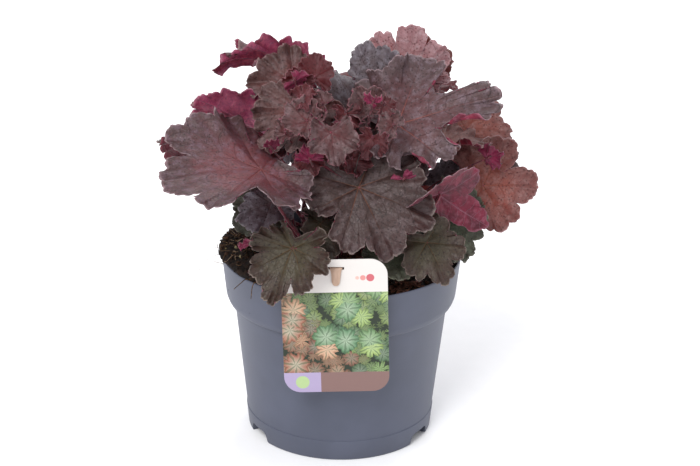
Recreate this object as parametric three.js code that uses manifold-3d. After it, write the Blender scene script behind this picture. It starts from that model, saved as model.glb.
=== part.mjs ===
// A dark-leaved heuchera in a round nursery pot, as a scene graph of named solids.
// Units are millimetres, +Z is up. The origin is on the ground, at the centre of the pot's base.

import * as THREE from "three";
import { mergeVertices } from "three/addons/utils/BufferGeometryUtils.js";
import Module from "manifold-3d";

const wasm = await Module();
wasm.setup();

const DEG = Math.PI / 180;
const V = (x, y, z) => new THREE.Vector3(x, y, z);

// ---------------------------------------------------------------- driving dimensions

const POT = {
  rimRadius: 95,
  height: 148,
  wall: 1.6,
  bandHeight: 36.4, // the stepped band under the rim
  bandFootRadius: 91.6,
  wallTopRadius: 85.3, // the tapered wall, where it meets the band
  footRadius: 74.3,
  stepHeight: 17.2, // a faint line round the wall
  stepDepth: 0.5,
  floorLift: 7, // the ring channel of the floor stands this far off the ground
  padRadius: 30, // the middle of the floor lies on the ground
  footWall: 5,
  sides: 40,
};
const FOOT_NOTCH = { angles: [-150, -30, 90], width: 27, topWidth: 21, height: 8.8 };
const DRAIN = { count: 6, radius: 4.5, ring: 50, sides: 8 };

const SOIL = {
  level: 140,
  gap: 0.35, // between the root ball and the pot
  lump: 1.6,
  moundHeight: 17, // the root ball stands up on the -X side
  moundAngle: 186,
  moundSpread: 62, // degrees each way
  overhang: 2.6, // past the rim, over it
};
const CROWN = { centre: V(-4, -3, 0), radius: 36, top: 156, bottom: 122, sides: 14, seatGap: 0.35 };

const BLADE = { thickness: 0.9, clearance: 0.3 };
const STALK = {
  baseRadius: 1.9,
  tipRadius: 1.25,
  sunk: 9, // into the crown
  sides: 5,
  holeGap: 0.35,
  neck: 1.6, // below the blade
  headReach: 0.32, // how stiffly it leaves the blade, as a share of its length
  footReach: 0.34,
  bow: 20, // the most it may swing aside
};

const CARD = { width: 80, height: 109, thickness: 0.8, corner: 13, topZ: 181, x: -3.5, y: -97.2, lean: 2.1 };
const CLIP = { width: 9, tipWidth: 4.4, thickness: 1, frontDrop: 21, backY: -88.4, bottomZ: 118 };

// Where stalks leave the crown: a sunflower spiral of sockets.
const SOCKETS = { count: 58, radius: 31, goldenAngle: 137.508 };

// ---------------------------------------------------------------- small tools

// A repeatable source of random numbers between 0 and 1.
function randomSource(seed) {
  let state = seed >>> 0;
  return () => {
    state = (state + 0x6d2b79f5) >>> 0;
    let t = state;
    t = Math.imul(t ^ (t >>> 15), t | 1);
    t ^= t + Math.imul(t ^ (t >>> 7), t | 61);
    return ((t ^ (t >>> 14)) >>> 0) / 4294967296;
  };
}

const mix = (a, b, t) => a + (b - a) * t;
const clamp01 = (t) => Math.min(1, Math.max(0, t));
const smooth = (a, b, x) => {
  const t = clamp01((x - a) / (b - a));
  return t * t * (3 - 2 * t);
};

// A closed geometry as a manifold-3d solid; slivers that merging leaves on an axis are dropped.
function solidOf(geometry) {
  const bare = geometry.clone();
  for (const name of Object.keys(bare.attributes)) {
    if (name !== "position") bare.deleteAttribute(name);
  }
  const merged = mergeVertices(bare, 1e-4);
  const index = merged.index.array;
  const triangles = [];
  for (let i = 0; i < index.length; i += 3) {
    const [a, b, c] = [index[i], index[i + 1], index[i + 2]];
    if (a !== b && b !== c && c !== a) triangles.push(a, b, c);
  }
  return new wasm.Manifold(
    new wasm.Mesh({
      numProp: 3,
      vertProperties: new Float32Array(merged.attributes.position.array),
      triVerts: new Uint32Array(triangles),
    }),
  );
}

function geometryOf(solid) {
  const mesh = solid.getMesh();
  const positions = new Float32Array(mesh.numVert * 3);
  for (let i = 0; i < mesh.numVert; i++) {
    positions.set(mesh.vertProperties.subarray(i * mesh.numProp, i * mesh.numProp + 3), i * 3);
  }
  return new THREE.BufferGeometry()
    .setAttribute("position", new THREE.BufferAttribute(positions, 3))
    .setIndex(new THREE.BufferAttribute(mesh.triVerts, 1));
}

function indexedGeometry(points, triangles) {
  return new THREE.BufferGeometry()
    .setAttribute("position", new THREE.Float32BufferAttribute(points.flatMap((p) => [p.x, p.y, p.z]), 3))
    .setIndex(triangles);
}

// A closed skin through rings of equal length, from a first point to a last one on the axis.
function skinOverRings(first, rings, last) {
  const n = rings[0].length;
  const points = [first, ...rings.flat(), last];
  const at = (ring, i) => 1 + ring * n + (i % n);
  const triangles = [];
  for (let i = 0; i < n; i++) {
    triangles.push(0, at(0, i + 1), at(0, i));
    for (let ring = 0; ring + 1 < rings.length; ring++) {
      triangles.push(at(ring, i), at(ring, i + 1), at(ring + 1, i + 1));
      triangles.push(at(ring, i), at(ring + 1, i + 1), at(ring + 1, i));
    }
    triangles.push(points.length - 1, at(rings.length - 1, i), at(rings.length - 1, i + 1));
  }
  return indexedGeometry(points, triangles);
}

const turned = (x, y, degrees) => {
  const [c, s] = [Math.cos(degrees * DEG), Math.sin(degrees * DEG)];
  return [x * c - y * s, x * s + y * c];
};

// ---------------------------------------------------------------- pot

const bandFootZ = POT.height - POT.bandHeight;

// Outer radius of the tapered wall at a height under the band.
const wallRadius = (z) => mix(POT.footRadius, POT.wallTopRadius, z / bandFootZ);

// The pot's inner wall from the floor to the rim, as radius and height.
const INNER_WALL = [
  [wallRadius(POT.floorLift + 4) - POT.wall, POT.floorLift + 4],
  [wallRadius(bandFootZ - 2) - POT.wall, bandFootZ - 2],
  [POT.bandFootRadius + 0.5 - POT.wall, bandFootZ + 5],
  [POT.rimRadius - POT.wall, POT.height - 0.5],
];

// Inner radius of the pot at a height.
function innerRadius(z) {
  const last = INNER_WALL.length - 1;
  const above = INNER_WALL.findIndex(([, height], i) => i > 0 && (z <= height || i === last));
  const [[r0, z0], [r1, z1]] = [INNER_WALL[above - 1], INNER_WALL[above]];
  return mix(r0, r1, (z - z0) / (z1 - z0));
}

// The floor's underside or topside: a pad on the ground, a raised ring channel, a foot.
const floorLine = (lift) => [
  [0, lift],
  [POT.padRadius, lift],
  [POT.padRadius + 5, lift + POT.floorLift],
  [POT.footRadius - POT.footWall - 4, lift + POT.floorLift],
];

function makePot() {
  const step = POT.stepHeight;
  const profile = [
    ...floorLine(0),
    [POT.footRadius - POT.footWall, 0],
    [POT.footRadius - 0.8, 0],
    [wallRadius(1.2), 1.2],
    [wallRadius(step), step],
    [wallRadius(step) - POT.stepDepth, step + 0.6],
    [POT.wallTopRadius, bandFootZ - 2],
    [POT.wallTopRadius + 4, bandFootZ - 0.8],
    [POT.bandFootRadius, bandFootZ + 3.6],
    [POT.rimRadius, POT.height - 0.9],
    [POT.rimRadius - 0.8, POT.height],
    ...INNER_WALL.toReversed(),
    ...floorLine(POT.wall).reverse(),
  ];
  const body = new THREE.LatheGeometry(
    profile.map(([r, z]) => new THREE.Vector2(r, z)),
    POT.sides,
  ).rotateX(Math.PI / 2);
  let solid = solidOf(body);

  for (const angle of FOOT_NOTCH.angles) {
    const shape = new THREE.Shape([
      new THREE.Vector2(-FOOT_NOTCH.width / 2, -1),
      new THREE.Vector2(FOOT_NOTCH.width / 2, -1),
      new THREE.Vector2(FOOT_NOTCH.topWidth / 2, FOOT_NOTCH.height * 0.7),
      new THREE.Vector2(FOOT_NOTCH.topWidth / 2 - 4, FOOT_NOTCH.height),
      new THREE.Vector2(-FOOT_NOTCH.topWidth / 2 + 4, FOOT_NOTCH.height),
      new THREE.Vector2(-FOOT_NOTCH.topWidth / 2, FOOT_NOTCH.height * 0.7),
    ]);
    const cutter = new THREE.ExtrudeGeometry(shape, { depth: 14, bevelEnabled: false })
      .rotateX(Math.PI / 2)
      .rotateZ(Math.PI)
      .translate(0, POT.footRadius - POT.footWall - 3.2, 0)
      .rotateZ((angle - 90) * DEG);
    solid = solid.subtract(solidOf(cutter));
  }
  for (let i = 0; i < DRAIN.count; i++) {
    const [x, y] = turned(DRAIN.ring, 0, ((i + 0.5) * 360) / DRAIN.count);
    const cutter = new THREE.CylinderGeometry(DRAIN.radius, DRAIN.radius, 8, DRAIN.sides)
      .rotateX(Math.PI / 2)
      .translate(x, y, POT.floorLift + POT.wall / 2);
    solid = solid.subtract(solidOf(cutter));
  }
  return solid;
}

// ---------------------------------------------------------------- compost

// How far the root ball stands up at an angle round the pot, 0 to 1.
function moundShare(degrees) {
  let off = Math.abs(degrees - SOIL.moundAngle) % 360;
  if (off > 180) off = 360 - off;
  return 1 - smooth(SOIL.moundSpread * 0.45, SOIL.moundSpread, off);
}

// Height of the compost's surface.
function soilHeight(x, y) {
  const r = Math.hypot(x, y);
  const mound = SOIL.moundHeight * moundShare(Math.atan2(y, x) / DEG) * smooth(30, 78, r);
  const lumps = Math.sin(x * 0.21 + 1.3) * Math.cos(y * 0.17) + 0.6 * Math.sin(x * 0.43 - y * 0.37);
  return SOIL.level + mound + SOIL.lump * lumps;
}

function makeSoil() {
  const angles = Array.from({ length: POT.sides }, (_, i) => (i * 360) / POT.sides);
  const ring = (radiusAt, heightAt) =>
    angles.map((a, i) => {
      const r = radiusAt(a, i);
      const [x, y] = turned(r, 0, a);
      return V(x, y, heightAt(a, x, y, i));
    });
  const lift = POT.wall + SOIL.gap;
  const under = floorLine(lift).slice(1);
  const inside = (z) => innerRadius(z) - SOIL.gap;
  const overRim = POT.height + SOIL.gap + 0.2;
  const edgeZ = (a) => mix(SOIL.level - 4, overRim, clamp01(1.6 * moundShare(a)));
  const brim = (a) => moundShare(a) > 0.97; // the ball spills over the rim here
  const grain = randomSource(7);
  const ragged = angles.map(() => grain() * 2 - 1);
  const rings = [
    ...under.map(([r, z]) => ring(() => r, () => z)),
    ...INNER_WALL.slice(0, -1).map(([r, z]) => ring(() => r - SOIL.gap, () => z + 0.3)),
    ring((a) => inside(Math.min(edgeZ(a), POT.height)) - 0.4, (a) => edgeZ(a)),
    ring(
      (a, i) => (brim(a) ? POT.rimRadius + SOIL.overhang + ragged[i] : inside(edgeZ(a) + 1) - 0.8),
      (a) => edgeZ(a) + 0.8,
    ),
    ring(
      (a, i) => (brim(a) ? POT.rimRadius + SOIL.overhang * 0.4 + ragged[i] : inside(edgeZ(a) + 2) - 2.4),
      (a, x, y, i) => Math.min(edgeZ(a) + 4.5, soilHeight(x, y) + ragged[i]),
    ),
    ...[82, 64, 42].map((r) => ring(() => r, (a, x, y) => soilHeight(x, y))),
  ];
  return solidOf(skinOverRings(V(0, 0, lift), rings, V(0, 0, soilHeight(0, 0))));
}

// ---------------------------------------------------------------- crown

// The woody stock: a low knobbly dome sunk in the compost. grow swells it, for its own seat.
function crownSolid(grow) {
  const shares = [0.75, 1, 0.95, 0.62];
  const heights = [0, 0.25, 0.62, 0.93];
  const rings = shares.map((share, k) =>
    Array.from({ length: CROWN.sides }, (_, i) => {
      const a = (i * 360) / CROWN.sides;
      const knob = 1 + 0.05 * Math.sin(a * DEG * 5 + k) + 0.03 * Math.sin(a * DEG * 9 - 2 * k);
      const [x, y] = turned(CROWN.radius * share * knob + grow, 0, a);
      const rise = mix(CROWN.bottom - grow, CROWN.top + grow, heights[k]);
      return V(CROWN.centre.x + x, CROWN.centre.y + y, rise);
    }),
  );
  const { x, y } = CROWN.centre;
  return solidOf(skinOverRings(V(x, y, CROWN.bottom - grow), rings, V(x, y, CROWN.top + grow)));
}

// Height of the crown's skin at a distance from its middle.
const crownTop = (r) => mix(CROWN.top, CROWN.top - 14, (r / CROWN.radius) ** 2);

// ---------------------------------------------------------------- leaves
//
// A leaf is a palmate blade on a stalk, in one closed skin. Its blade is a fan of spokes from the
// point where the stalk joins it: four spokes for each lobe, and one down the notch at the back.
//
//   hub      where the stalk joins the blade
//   tip      where the middle lobe points
//   faces    which way the upper side looks
//   size     hub to the end of the middle lobe, once flattened
//   broad    width against a round blade
//   droop    degrees the front half bends down; curl, its last third as well
//   left     degrees the left half lifts (looking from hub to tip); right, the right half
//   back     degrees the lobes beside the stalk bend down
//   taper    how much shorter the lobes get towards the stalk
//   ruffle   height of the waves along the edge, as a share of size
//   lobes    7 on a full leaf, 5 on a young one
//   cup      rise of the edge over the hub, as a share of size
//   notch    depth of the cuts between the lobes, as a share of their length
//   arrival  how far the stalk comes in from behind: 0 from right under the blade

const LEAF_DEFAULTS = {
  broad: 1,
  droop: 20,
  curl: 10,
  left: 12,
  right: 12,
  back: 10,
  cup: 0.04,
  taper: 0.36,
  ruffle: 0.1,
  notch: 0.27,
  lobes: 7,
  arrival: 1,
};

const LOBE_STEP = { 7: 43, 5: 60 }; // degrees from lobe to lobe, by their count
const NOTCH_REACH = 0.15; // how far the blade reaches straight back from the hub
const UNEVEN = { lobe: 0.09, spoke: 0.03 }; // how much lobes and spokes differ in length
const SWELL = { cuts: 0.8, lobes: 0.6, third: 0.6, fifth: 0.4 }; // what the waves of the edge are made of

// Angle and reach of each spoke on one half, from the middle lobe round to the notch.
function halfOutline(leaf) {
  const lobeStep = LOBE_STEP[leaf.lobes];
  const spokesToLastLobe = (leaf.lobes - 1) * 2;
  const half = [];
  for (let i = 0; i <= spokesToLastLobe; i++) {
    const angle = (i * lobeStep) / 4;
    const dip = (1 - Math.cos((angle / lobeStep) * Math.PI) ** 2) ** 2.2;
    const envelope = 1 - leaf.taper * (angle / 150) ** 1.5;
    const round = envelope * (1 - 0.35 * leaf.notch);
    const reach = envelope * (1 - leaf.notch * dip);
    half.push({ angle, round, reach, dip });
  }
  const ear = half[half.length - 1];
  half.push({ angle: ear.angle + 18, round: ear.round * 0.8, reach: ear.reach * 0.9, dip: 0.3 });
  half.push({ angle: 180, round: NOTCH_REACH * 1.2, reach: NOTCH_REACH, dip: 1 });
  return half;
}

// All spokes, counted round from the middle lobe.
function outline(leaf) {
  const half = halfOutline(leaf);
  const last = half.length - 1;
  const random = randomSource(leaf.seed * 31 + 5);
  const other = half.slice(1, last).reverse();
  const lobeLength = Array.from({ length: 2 * leaf.lobes }, () => 1 + UNEVEN.lobe * (random() * 2 - 1));
  const lobeLift = lobeLength.map(() => random() * 2 - 1);
  return [...half, ...other.map((s) => ({ ...s, angle: -s.angle }))].map((s, i) => {
    const lobe = Math.round(i / 4) % leaf.lobes;
    const uneven = i % last === 0 ? 1 : lobeLength[lobe] * (1 + UNEVEN.spoke * (random() * 2 - 1));
    return { ...s, reach: s.reach * uneven, lift: lobeLift[lobe] * (1 - s.dip) };
  });
}

// Follow a line of length s whose slope at its end is bend (degrees at length 1), plus an extra curl.
function bentLine(s, bend, curl) {
  const steps = 8;
  let [x, z, slope] = [0, 0, 0];
  for (let i = 0; i < steps; i++) {
    const t = ((i + 0.5) / steps) * s;
    slope = (bend * t + curl * smooth(0.5, 1.05, t)) * DEG;
    x += (Math.cos(slope) * s) / steps;
    z += (Math.sin(slope) * s) / steps;
  }
  return { x, z, slope: (bend * s + curl * smooth(0.5, 1.05, s)) * DEG };
}

// One point of the blade's upper side in the leaf's own frame: x to the tip, y to the left, z up.
function bladePoint(leaf, spoke, share, waves) {
  const reach = mix(spoke.round, spoke.reach, share * share);
  const angle = spoke.angle * DEG;
  const u = share * reach * Math.cos(angle);
  const v = share * reach * Math.sin(angle) * leaf.broad;
  const edge = share ** 2.2;
  const swell =
    SWELL.cuts * (spoke.dip - 0.35) +
    SWELL.lobes * spoke.lift +
    SWELL.third * Math.cos(3 * angle + waves[0]) +
    SWELL.fifth * Math.cos(5 * angle + waves[1]);
  const w = leaf.cup * share * share + leaf.ruffle * edge * swell;

  const across = bentLine(Math.abs(v), v > 0 ? leaf.left : leaf.right, 0);
  const side = Math.sign(v) * (across.x - w * Math.sin(across.slope));
  const lift = across.z + w * Math.cos(across.slope);

  const along = bentLine(Math.abs(u), u > 0 ? leaf.droop : leaf.back, u > 0 ? leaf.curl : 0);
  const forward = Math.sign(u) * (along.x + lift * Math.sin(along.slope));
  const up = -along.z + lift * Math.cos(along.slope);
  return V(forward, side, up).multiplyScalar(leaf.size);
}

function leafFrame(leaf) {
  const forward = V(...leaf.tip).sub(V(...leaf.hub)).normalize();
  const up = V(...leaf.faces);
  up.addScaledVector(forward, -up.dot(forward)).normalize();
  const left = up.clone().cross(forward);
  const matrix = new THREE.Matrix4().makeBasis(forward, left, up).setPosition(...leaf.hub);
  return { forward, left, up, matrix };
}

// Rings of points round the stalk, from the blade down into its socket.
function stalkRings(leaf, frame, gap) {
  const hub = V(...leaf.hub);
  const socket = leaf.socket;
  const span = hub.distanceTo(socket.point);
  const arrive = frame.up
    .clone()
    .multiplyScalar(0.75)
    .addScaledVector(frame.forward, 0.5 * leaf.arrival)
    .add(V(0, 0, 0.25))
    .normalize();
  const top = hub.clone().addScaledVector(frame.up, -BLADE.thickness - STALK.neck);
  const curve = new THREE.CubicBezierCurve3(
    top,
    top.clone().addScaledVector(arrive, -span * STALK.headReach).add(leaf.bow),
    socket.point.clone().addScaledVector(socket.direction, span * STALK.footReach).add(leaf.bow),
    socket.point,
  );
  const steps = span > 60 ? 5 : 4;
  const centres = Array.from({ length: steps + 1 }, (_, i) => curve.getPoint(i / steps));
  const tangents = centres.map((_, i) => curve.getTangent(i / steps));
  centres.push(socket.point.clone().addScaledVector(socket.direction, -STALK.sunk - gap));
  tangents.push(socket.direction.clone().negate());

  let across = frame.forward.clone();
  return centres.map((centre, k) => {
    const tangent = tangents[k];
    across.addScaledVector(tangent, -across.dot(tangent)).normalize();
    const other = tangent.clone().cross(across).negate();
    const radius = mix(STALK.tipRadius, STALK.baseRadius, k / steps) + gap;
    return Array.from({ length: STALK.sides }, (_, i) => {
      const a = (i / STALK.sides) * 2 * Math.PI;
      return centre
        .clone()
        .addScaledVector(across, radius * Math.cos(a))
        .addScaledVector(other, radius * Math.sin(a));
    });
  });
}

// The whole leaf as one closed skin; gap makes it fatter all over, to test how clear it stands.
function leafGeometry(leaf, gap = 0) {
  const spokes = outline(leaf);
  const n = spokes.length;
  const random = randomSource(leaf.seed);
  const waves = [random() * 2 * Math.PI, random() * 2 * Math.PI];
  const shares = leaf.size > 62 ? [0.34, 0.68, 1] : [0.52, 1];
  const frame = leafFrame(leaf);
  const hub = V(...leaf.hub);
  const rings = shares.map((share) =>
    spokes.map((spoke) => bladePoint(leaf, spoke, share, waves).applyMatrix4(frame.matrix)),
  );

  // The upper side: a fan, then bands, every square split the same way.
  const upper = [hub, ...rings.flat()];
  const at = (ring, i) => 1 + ring * n + (i % n);
  const faces = [];
  for (let i = 0; i < n; i++) {
    faces.push([0, at(0, i), at(0, i + 1)]);
    for (let ring = 0; ring + 1 < rings.length; ring++) {
      faces.push([at(ring, i), at(ring + 1, i), at(ring + 1, i + 1)]);
      faces.push([at(ring, i), at(ring + 1, i + 1), at(ring, i + 1)]);
    }
  }

  // Which way each point's thickness goes.
  const normals = upper.map(() => V(0, 0, 0));
  for (const [a, b, c] of faces) {
    const normal = upper[b].clone().sub(upper[a]).cross(upper[c].clone().sub(upper[a]));
    for (const corner of [a, b, c]) normals[corner].add(normal);
  }
  normals.forEach((normal) => normal.normalize());

  const top = upper.map((p, i) => p.clone().addScaledVector(normals[i], gap));
  const under = upper.map((p, i) => p.clone().addScaledVector(normals[i], -BLADE.thickness - gap)).slice(1);
  const stalk = stalkRings(leaf, frame, gap);
  const points = [...top, ...under, ...stalk.flat()];
  const below = (index) => index - 1 + top.length;
  const stalkStart = top.length + under.length;
  const onStalk = (ring, j) => stalkStart + ring * STALK.sides + (j % STALK.sides);
  const triangles = faces.flat();
  for (const [a, b, c] of faces) {
    if (a !== 0) triangles.push(below(a), below(c), below(b));
  }
  for (let i = 0; i < n; i++) {
    const [a, b] = [at(rings.length - 1, i), at(rings.length - 1, i + 1)];
    triangles.push(a, below(a), below(b), a, below(b), b);
    const j = Math.floor((i * STALK.sides) / n);
    const next = Math.floor(((i + 1) * STALK.sides) / n);
    const [inner, outer] = [below(at(0, i)), below(at(0, i + 1))];
    triangles.push(inner, onStalk(0, j), outer);
    if (next > j) triangles.push(outer, onStalk(0, j), onStalk(0, next));
  }
  for (let ring = 0; ring + 1 < stalk.length; ring++) {
    for (let j = 0; j < STALK.sides; j++) {
      triangles.push(onStalk(ring, j), onStalk(ring + 1, j), onStalk(ring + 1, j + 1));
      triangles.push(onStalk(ring, j), onStalk(ring + 1, j + 1), onStalk(ring, j + 1));
    }
  }
  const end = stalk.length - 1;
  for (let j = 1; j + 1 < STALK.sides; j++) {
    triangles.push(onStalk(end, 0), onStalk(end, j + 1), onStalk(end, j));
  }
  return indexedGeometry(points, triangles);
}

// ---------------------------------------------------------------- which leaves there are

// The leaves that give the plant its face, the nearest to the front first.
const NAMED_LEAVES = [
  {
    name: "leaf_front_centre",
    hub: [13, -62, 225], tip: [40, -96, 186], faces: [0, -0.78, 0.62],
    size: 60, broad: 0.92, taper: 0.2, ruffle: 0.08,
    droop: 20, curl: 10, left: 10, right: 4, back: -14,
  },
  {
    name: "leaf_rim_left",
    hub: [-36, -95, 188.6], tip: [-51, -116, 155], faces: [-0.1, -0.7, 0.75],
    size: 43, broad: 0.92, taper: 0.45, ruffle: 0.07,
    droop: 12, curl: 4, left: 30, right: 10, back: -24,
  },
  {
    name: "leaf_mid_left",
    hub: [-31, -40, 278], tip: [-62, -58, 252], faces: [-0.2, -0.7, 0.7],
    size: 42, ruffle: 0.09,
    droop: 26, left: 24, right: 2,
  },
  {
    name: "leaf_upper_left",
    hub: [-41, -26, 294], tip: [-80, -38, 293], faces: [0.1, -0.4, 0.9],
    size: 38, taper: 0.42, ruffle: 0.08,
    droop: 8, left: -14, right: 46,
  },
  {
    name: "leaf_top_left",
    hub: [-43, 6, 290], tip: [-100, 0, 320], faces: [0.3, 0.45, 0.85],
    size: 68, broad: 0.55, taper: 0.42, ruffle: 0.08,
    droop: 42, curl: 40, left: 130, right: 0, back: 0,
  },
  {
    name: "leaf_left_far",
    hub: [-66, 0, 249], tip: [-117, -5, 277], faces: [0.4, 0.4, 0.9],
    size: 58, broad: 0.6, taper: 0.3, ruffle: 0.08,
    droop: 24, curl: 40, left: 110, right: 0,
  },
  {
    name: "leaf_young_left",
    hub: [-22, -52, 278], tip: [-36, -46, 288], faces: [0.2, -0.85, 0.5],
    size: 20, lobes: 5,
    droop: 6, left: 34, right: 34,
  },
  {
    name: "leaf_trefoil",
    hub: [-11, -70, 274], tip: [-7, -82, 254], faces: [0, -0.85, 0.5],
    size: 24, notch: 0.34, lobes: 5,
    droop: 10, left: 30, right: 30,
  },
  {
    name: "leaf_big_right",
    hub: [41, -43, 269], tip: [119, -34, 291], faces: [-0.15, -0.62, 0.78],
    size: 82, lobes: 5, notch: 0.52, taper: 0.64, broad: 0.9, ruffle: 0.1,
    droop: 4, curl: 16, left: 4, right: -24, back: 26,
  },
  {
    name: "leaf_big_left",
    hub: [-58, -42, 236], tip: [-138, -56, 224], faces: [-0.06, -0.42, 0.9],
    size: 84, taper: 0.54, ruffle: 0.09,
    droop: 6, curl: 8, left: 14, right: 20, back: 12,
  },
  {
    name: "leaf_young_right",
    hub: [20, -52, 282], tip: [8, -46, 299], faces: [0.2, -0.85, 0.5],
    size: 21, lobes: 5,
    droop: 6, left: 34, right: 34,
  },
  {
    name: "leaf_top_grey",
    hub: [24, 0, 284], tip: [8, 8, 318], faces: [-0.1, -0.85, 0.4],
    size: 38, broad: 0.85, lobes: 5,
    droop: 10, curl: 24, left: 24, right: 12,
  },
  {
    name: "leaf_magenta_right",
    hub: [73, -60, 220], tip: [102, -50, 236], faces: [0.3, 0.75, 0.5],
    size: 40, broad: 1.15, taper: 0.2, arrival: 0.4, ruffle: 0.05, lobes: 5,
    droop: -10, curl: -14, left: -20, right: -24, back: -20,
  },
  {
    name: "leaf_mid_right",
    hub: [49, -68, 246], tip: [66, -86, 230], faces: [0.1, -0.85, 0.5],
    size: 28, lobes: 5,
    droop: 14, left: 44, right: 6,
  },
  {
    name: "leaf_salmon_right",
    hub: [110, 2, 204], tip: [150, -2, 208], faces: [0, -0.93, 0.36],
    size: 43, taper: 0.3, notch: 0.36, ruffle: 0.05, lobes: 5,
    droop: 2, curl: 4, left: 2, right: 4,
  },
  {
    name: "leaf_low_right_green",
    hub: [76, -24, 190], tip: [98, -40, 160], faces: [0.3, -0.75, 0.5],
    size: 42, taper: 0.4,
    droop: 16, left: 8, right: 8,
  },
  {
    name: "leaf_low_right_brown",
    hub: [64, -54, 180], tip: [81, -70, 157], faces: [0.1, -0.75, 0.65],
    size: 35, broad: 0.9, lobes: 5,
    droop: 14, left: 40, right: 12,
  },
  {
    name: "leaf_rolled_grey",
    hub: [3, -8, 276], tip: [-20, -16, 303], faces: [0.35, -0.8, 0.5],
    size: 40, broad: 0.72, ruffle: 0.03, lobes: 5,
    droop: 10, left: -150, right: -140,
  },
  {
    name: "leaf_top_right",
    hub: [48, 15, 284], tip: [54, 26, 330], faces: [-0.1, -0.85, 0.35],
    size: 44, broad: 1.05, taper: 0.3, ruffle: 0.12,
    droop: -4, curl: 20, left: 14, right: 14,
  },
  {
    name: "leaf_top_red",
    hub: [-24, -4, 288], tip: [-17, 0, 315], faces: [0, -0.95, 0.3],
    size: 28, broad: 0.9, lobes: 5,
    droop: 4, left: 18, right: 26,
  },
  {
    name: "leaf_rolled_right",
    hub: [85, -15, 208], tip: [118, -18, 230], faces: [0.1, -0.5, 0.85],
    size: 40, broad: 0.7, lobes: 5,
    droop: 16, left: 150, right: -16,
  },
  {
    name: "leaf_small_dark",
    hub: [-15, -72, 198], tip: [-7, -98, 180], faces: [0.35, -0.7, 0.6],
    size: 33, broad: 0.75, lobes: 5,
    droop: 20, left: 10, right: 66,
  },
  {
    name: "leaf_grey_small",
    hub: [-33, -52, 250], tip: [-56, -58, 246], faces: [0, -0.85, 0.55],
    size: 26, lobes: 5,
    droop: 14, left: 24, right: 24,
  },
  {
    name: "leaf_right_orange",
    hub: [98, 34, 240], tip: [134, 32, 241], faces: [0, -0.8, 0.6],
    size: 37, broad: 0.8, lobes: 5,
    droop: 12, curl: 20,
  },
  {
    name: "leaf_right_shade",
    hub: [98, 40, 208], tip: [138, 40, 224], faces: [0, -0.7, 0.7],
    size: 44, lobes: 5,
    droop: 26,
  },
  {
    name: "leaf_grey_low",
    hub: [-54, -34, 201], tip: [-82, -42, 194], faces: [-0.1, -0.7, 0.75],
    size: 34, broad: 0.8, lobes: 5,
    droop: 24, left: 10, right: 16,
  },
  {
    name: "leaf_green_low",
    hub: [-60, -12, 186], tip: [-85, -20, 174], faces: [-0.2, -0.7, 0.7],
    size: 28, lobes: 5,
    droop: 20,
  },
  {
    name: "leaf_soil_right",
    hub: [38, -50, 170], tip: [52, -70, 158], faces: [0.1, -0.7, 0.7],
    size: 26, lobes: 5,
    droop: 20,
  },
  {
    name: "leaf_top_right_rear",
    hub: [60, 28, 284], tip: [84, 30, 304], faces: [0, -0.9, 0.4],
    size: 34, lobes: 5,
    droop: 8,
  },
  {
    name: "leaf_inner_red",
    hub: [-12, -24, 230], tip: [-15, -20, 260], faces: [0, -0.95, 0.3],
    size: 30, lobes: 5,
    droop: 4,
  },
  {
    name: "leaf_inner_dark",
    hub: [14, -24, 240], tip: [20, -22, 268], faces: [0.1, -0.95, 0.3],
    size: 30, lobes: 5,
    droop: 4,
  },
];

// The rest stand round the sides and the back in tiers, at places a seeded draw unsettles.
const TIERS = [
  { height: 186, reach: 84, size: 40, from: 20, to: 165, count: 5, tilt: 0.9 },
  { height: 226, reach: 92, size: 56, from: 12, to: 172, count: 5, tilt: 0.95 },
  { height: 268, reach: 66, size: 52, from: 25, to: 160, count: 4, tilt: 1.2 },
  { height: 292, reach: 20, size: 30, from: 20, to: 150, count: 2, tilt: 1.8 },
];

function tierLeaves() {
  const random = randomSource(11);
  const spread = (amount) => (random() * 2 - 1) * amount;
  const leaves = [];
  TIERS.forEach((tier, k) => {
    for (let i = 0; i < tier.count; i++) {
      const share = tier.count > 1 ? (i + (k % 2 ? 0.5 : 0.2)) / tier.count : 0.5;
      const a = mix(tier.from, tier.to, share) + spread(6);
      const [ox, oy] = turned(1, 0, a);
      const reach = tier.reach + spread(6);
      const z = tier.height + spread(7);
      leaves.push({
        name: `leaf_tier_${k + 1}_${i + 1}`,
        hub: [reach * ox, reach * oy, z],
        tip: [(reach + 34) * ox + spread(14), (reach + 34) * oy + spread(14), z + spread(10) - 8],
        faces: [ox * 0.75, oy * 0.75, tier.tilt],
        size: tier.size * (1 + spread(0.14)),
        broad: 0.98,
        droop: 26 + spread(14),
        curl: 14 + spread(12),
        left: 14 + spread(24),
        right: 14 + spread(24),
        ruffle: 0.075,
        lobes: tier.size > 45 ? 7 : 5,
      });
    }
  });
  return leaves;
}

// ---------------------------------------------------------------- making the leaves stand clear

// Sockets on the crown, from its middle out. Each has a place and the way its stalk sets off.
function makeSockets() {
  return Array.from({ length: SOCKETS.count }, (_, k) => {
    const r = SOCKETS.radius * Math.sqrt((k + 0.5) / SOCKETS.count);
    const [x, y] = turned(r, 0, k * SOCKETS.goldenAngle);
    const point = V(CROWN.centre.x + x, CROWN.centre.y + y, crownTop(r));
    const splay = mix(6, 42, r / SOCKETS.radius) * DEG;
    const outward = V(x, y, 0).normalize();
    const direction = outward.multiplyScalar(Math.sin(splay)).add(V(0, 0, Math.cos(splay)));
    return { point, direction, taken: false };
  });
}

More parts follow.
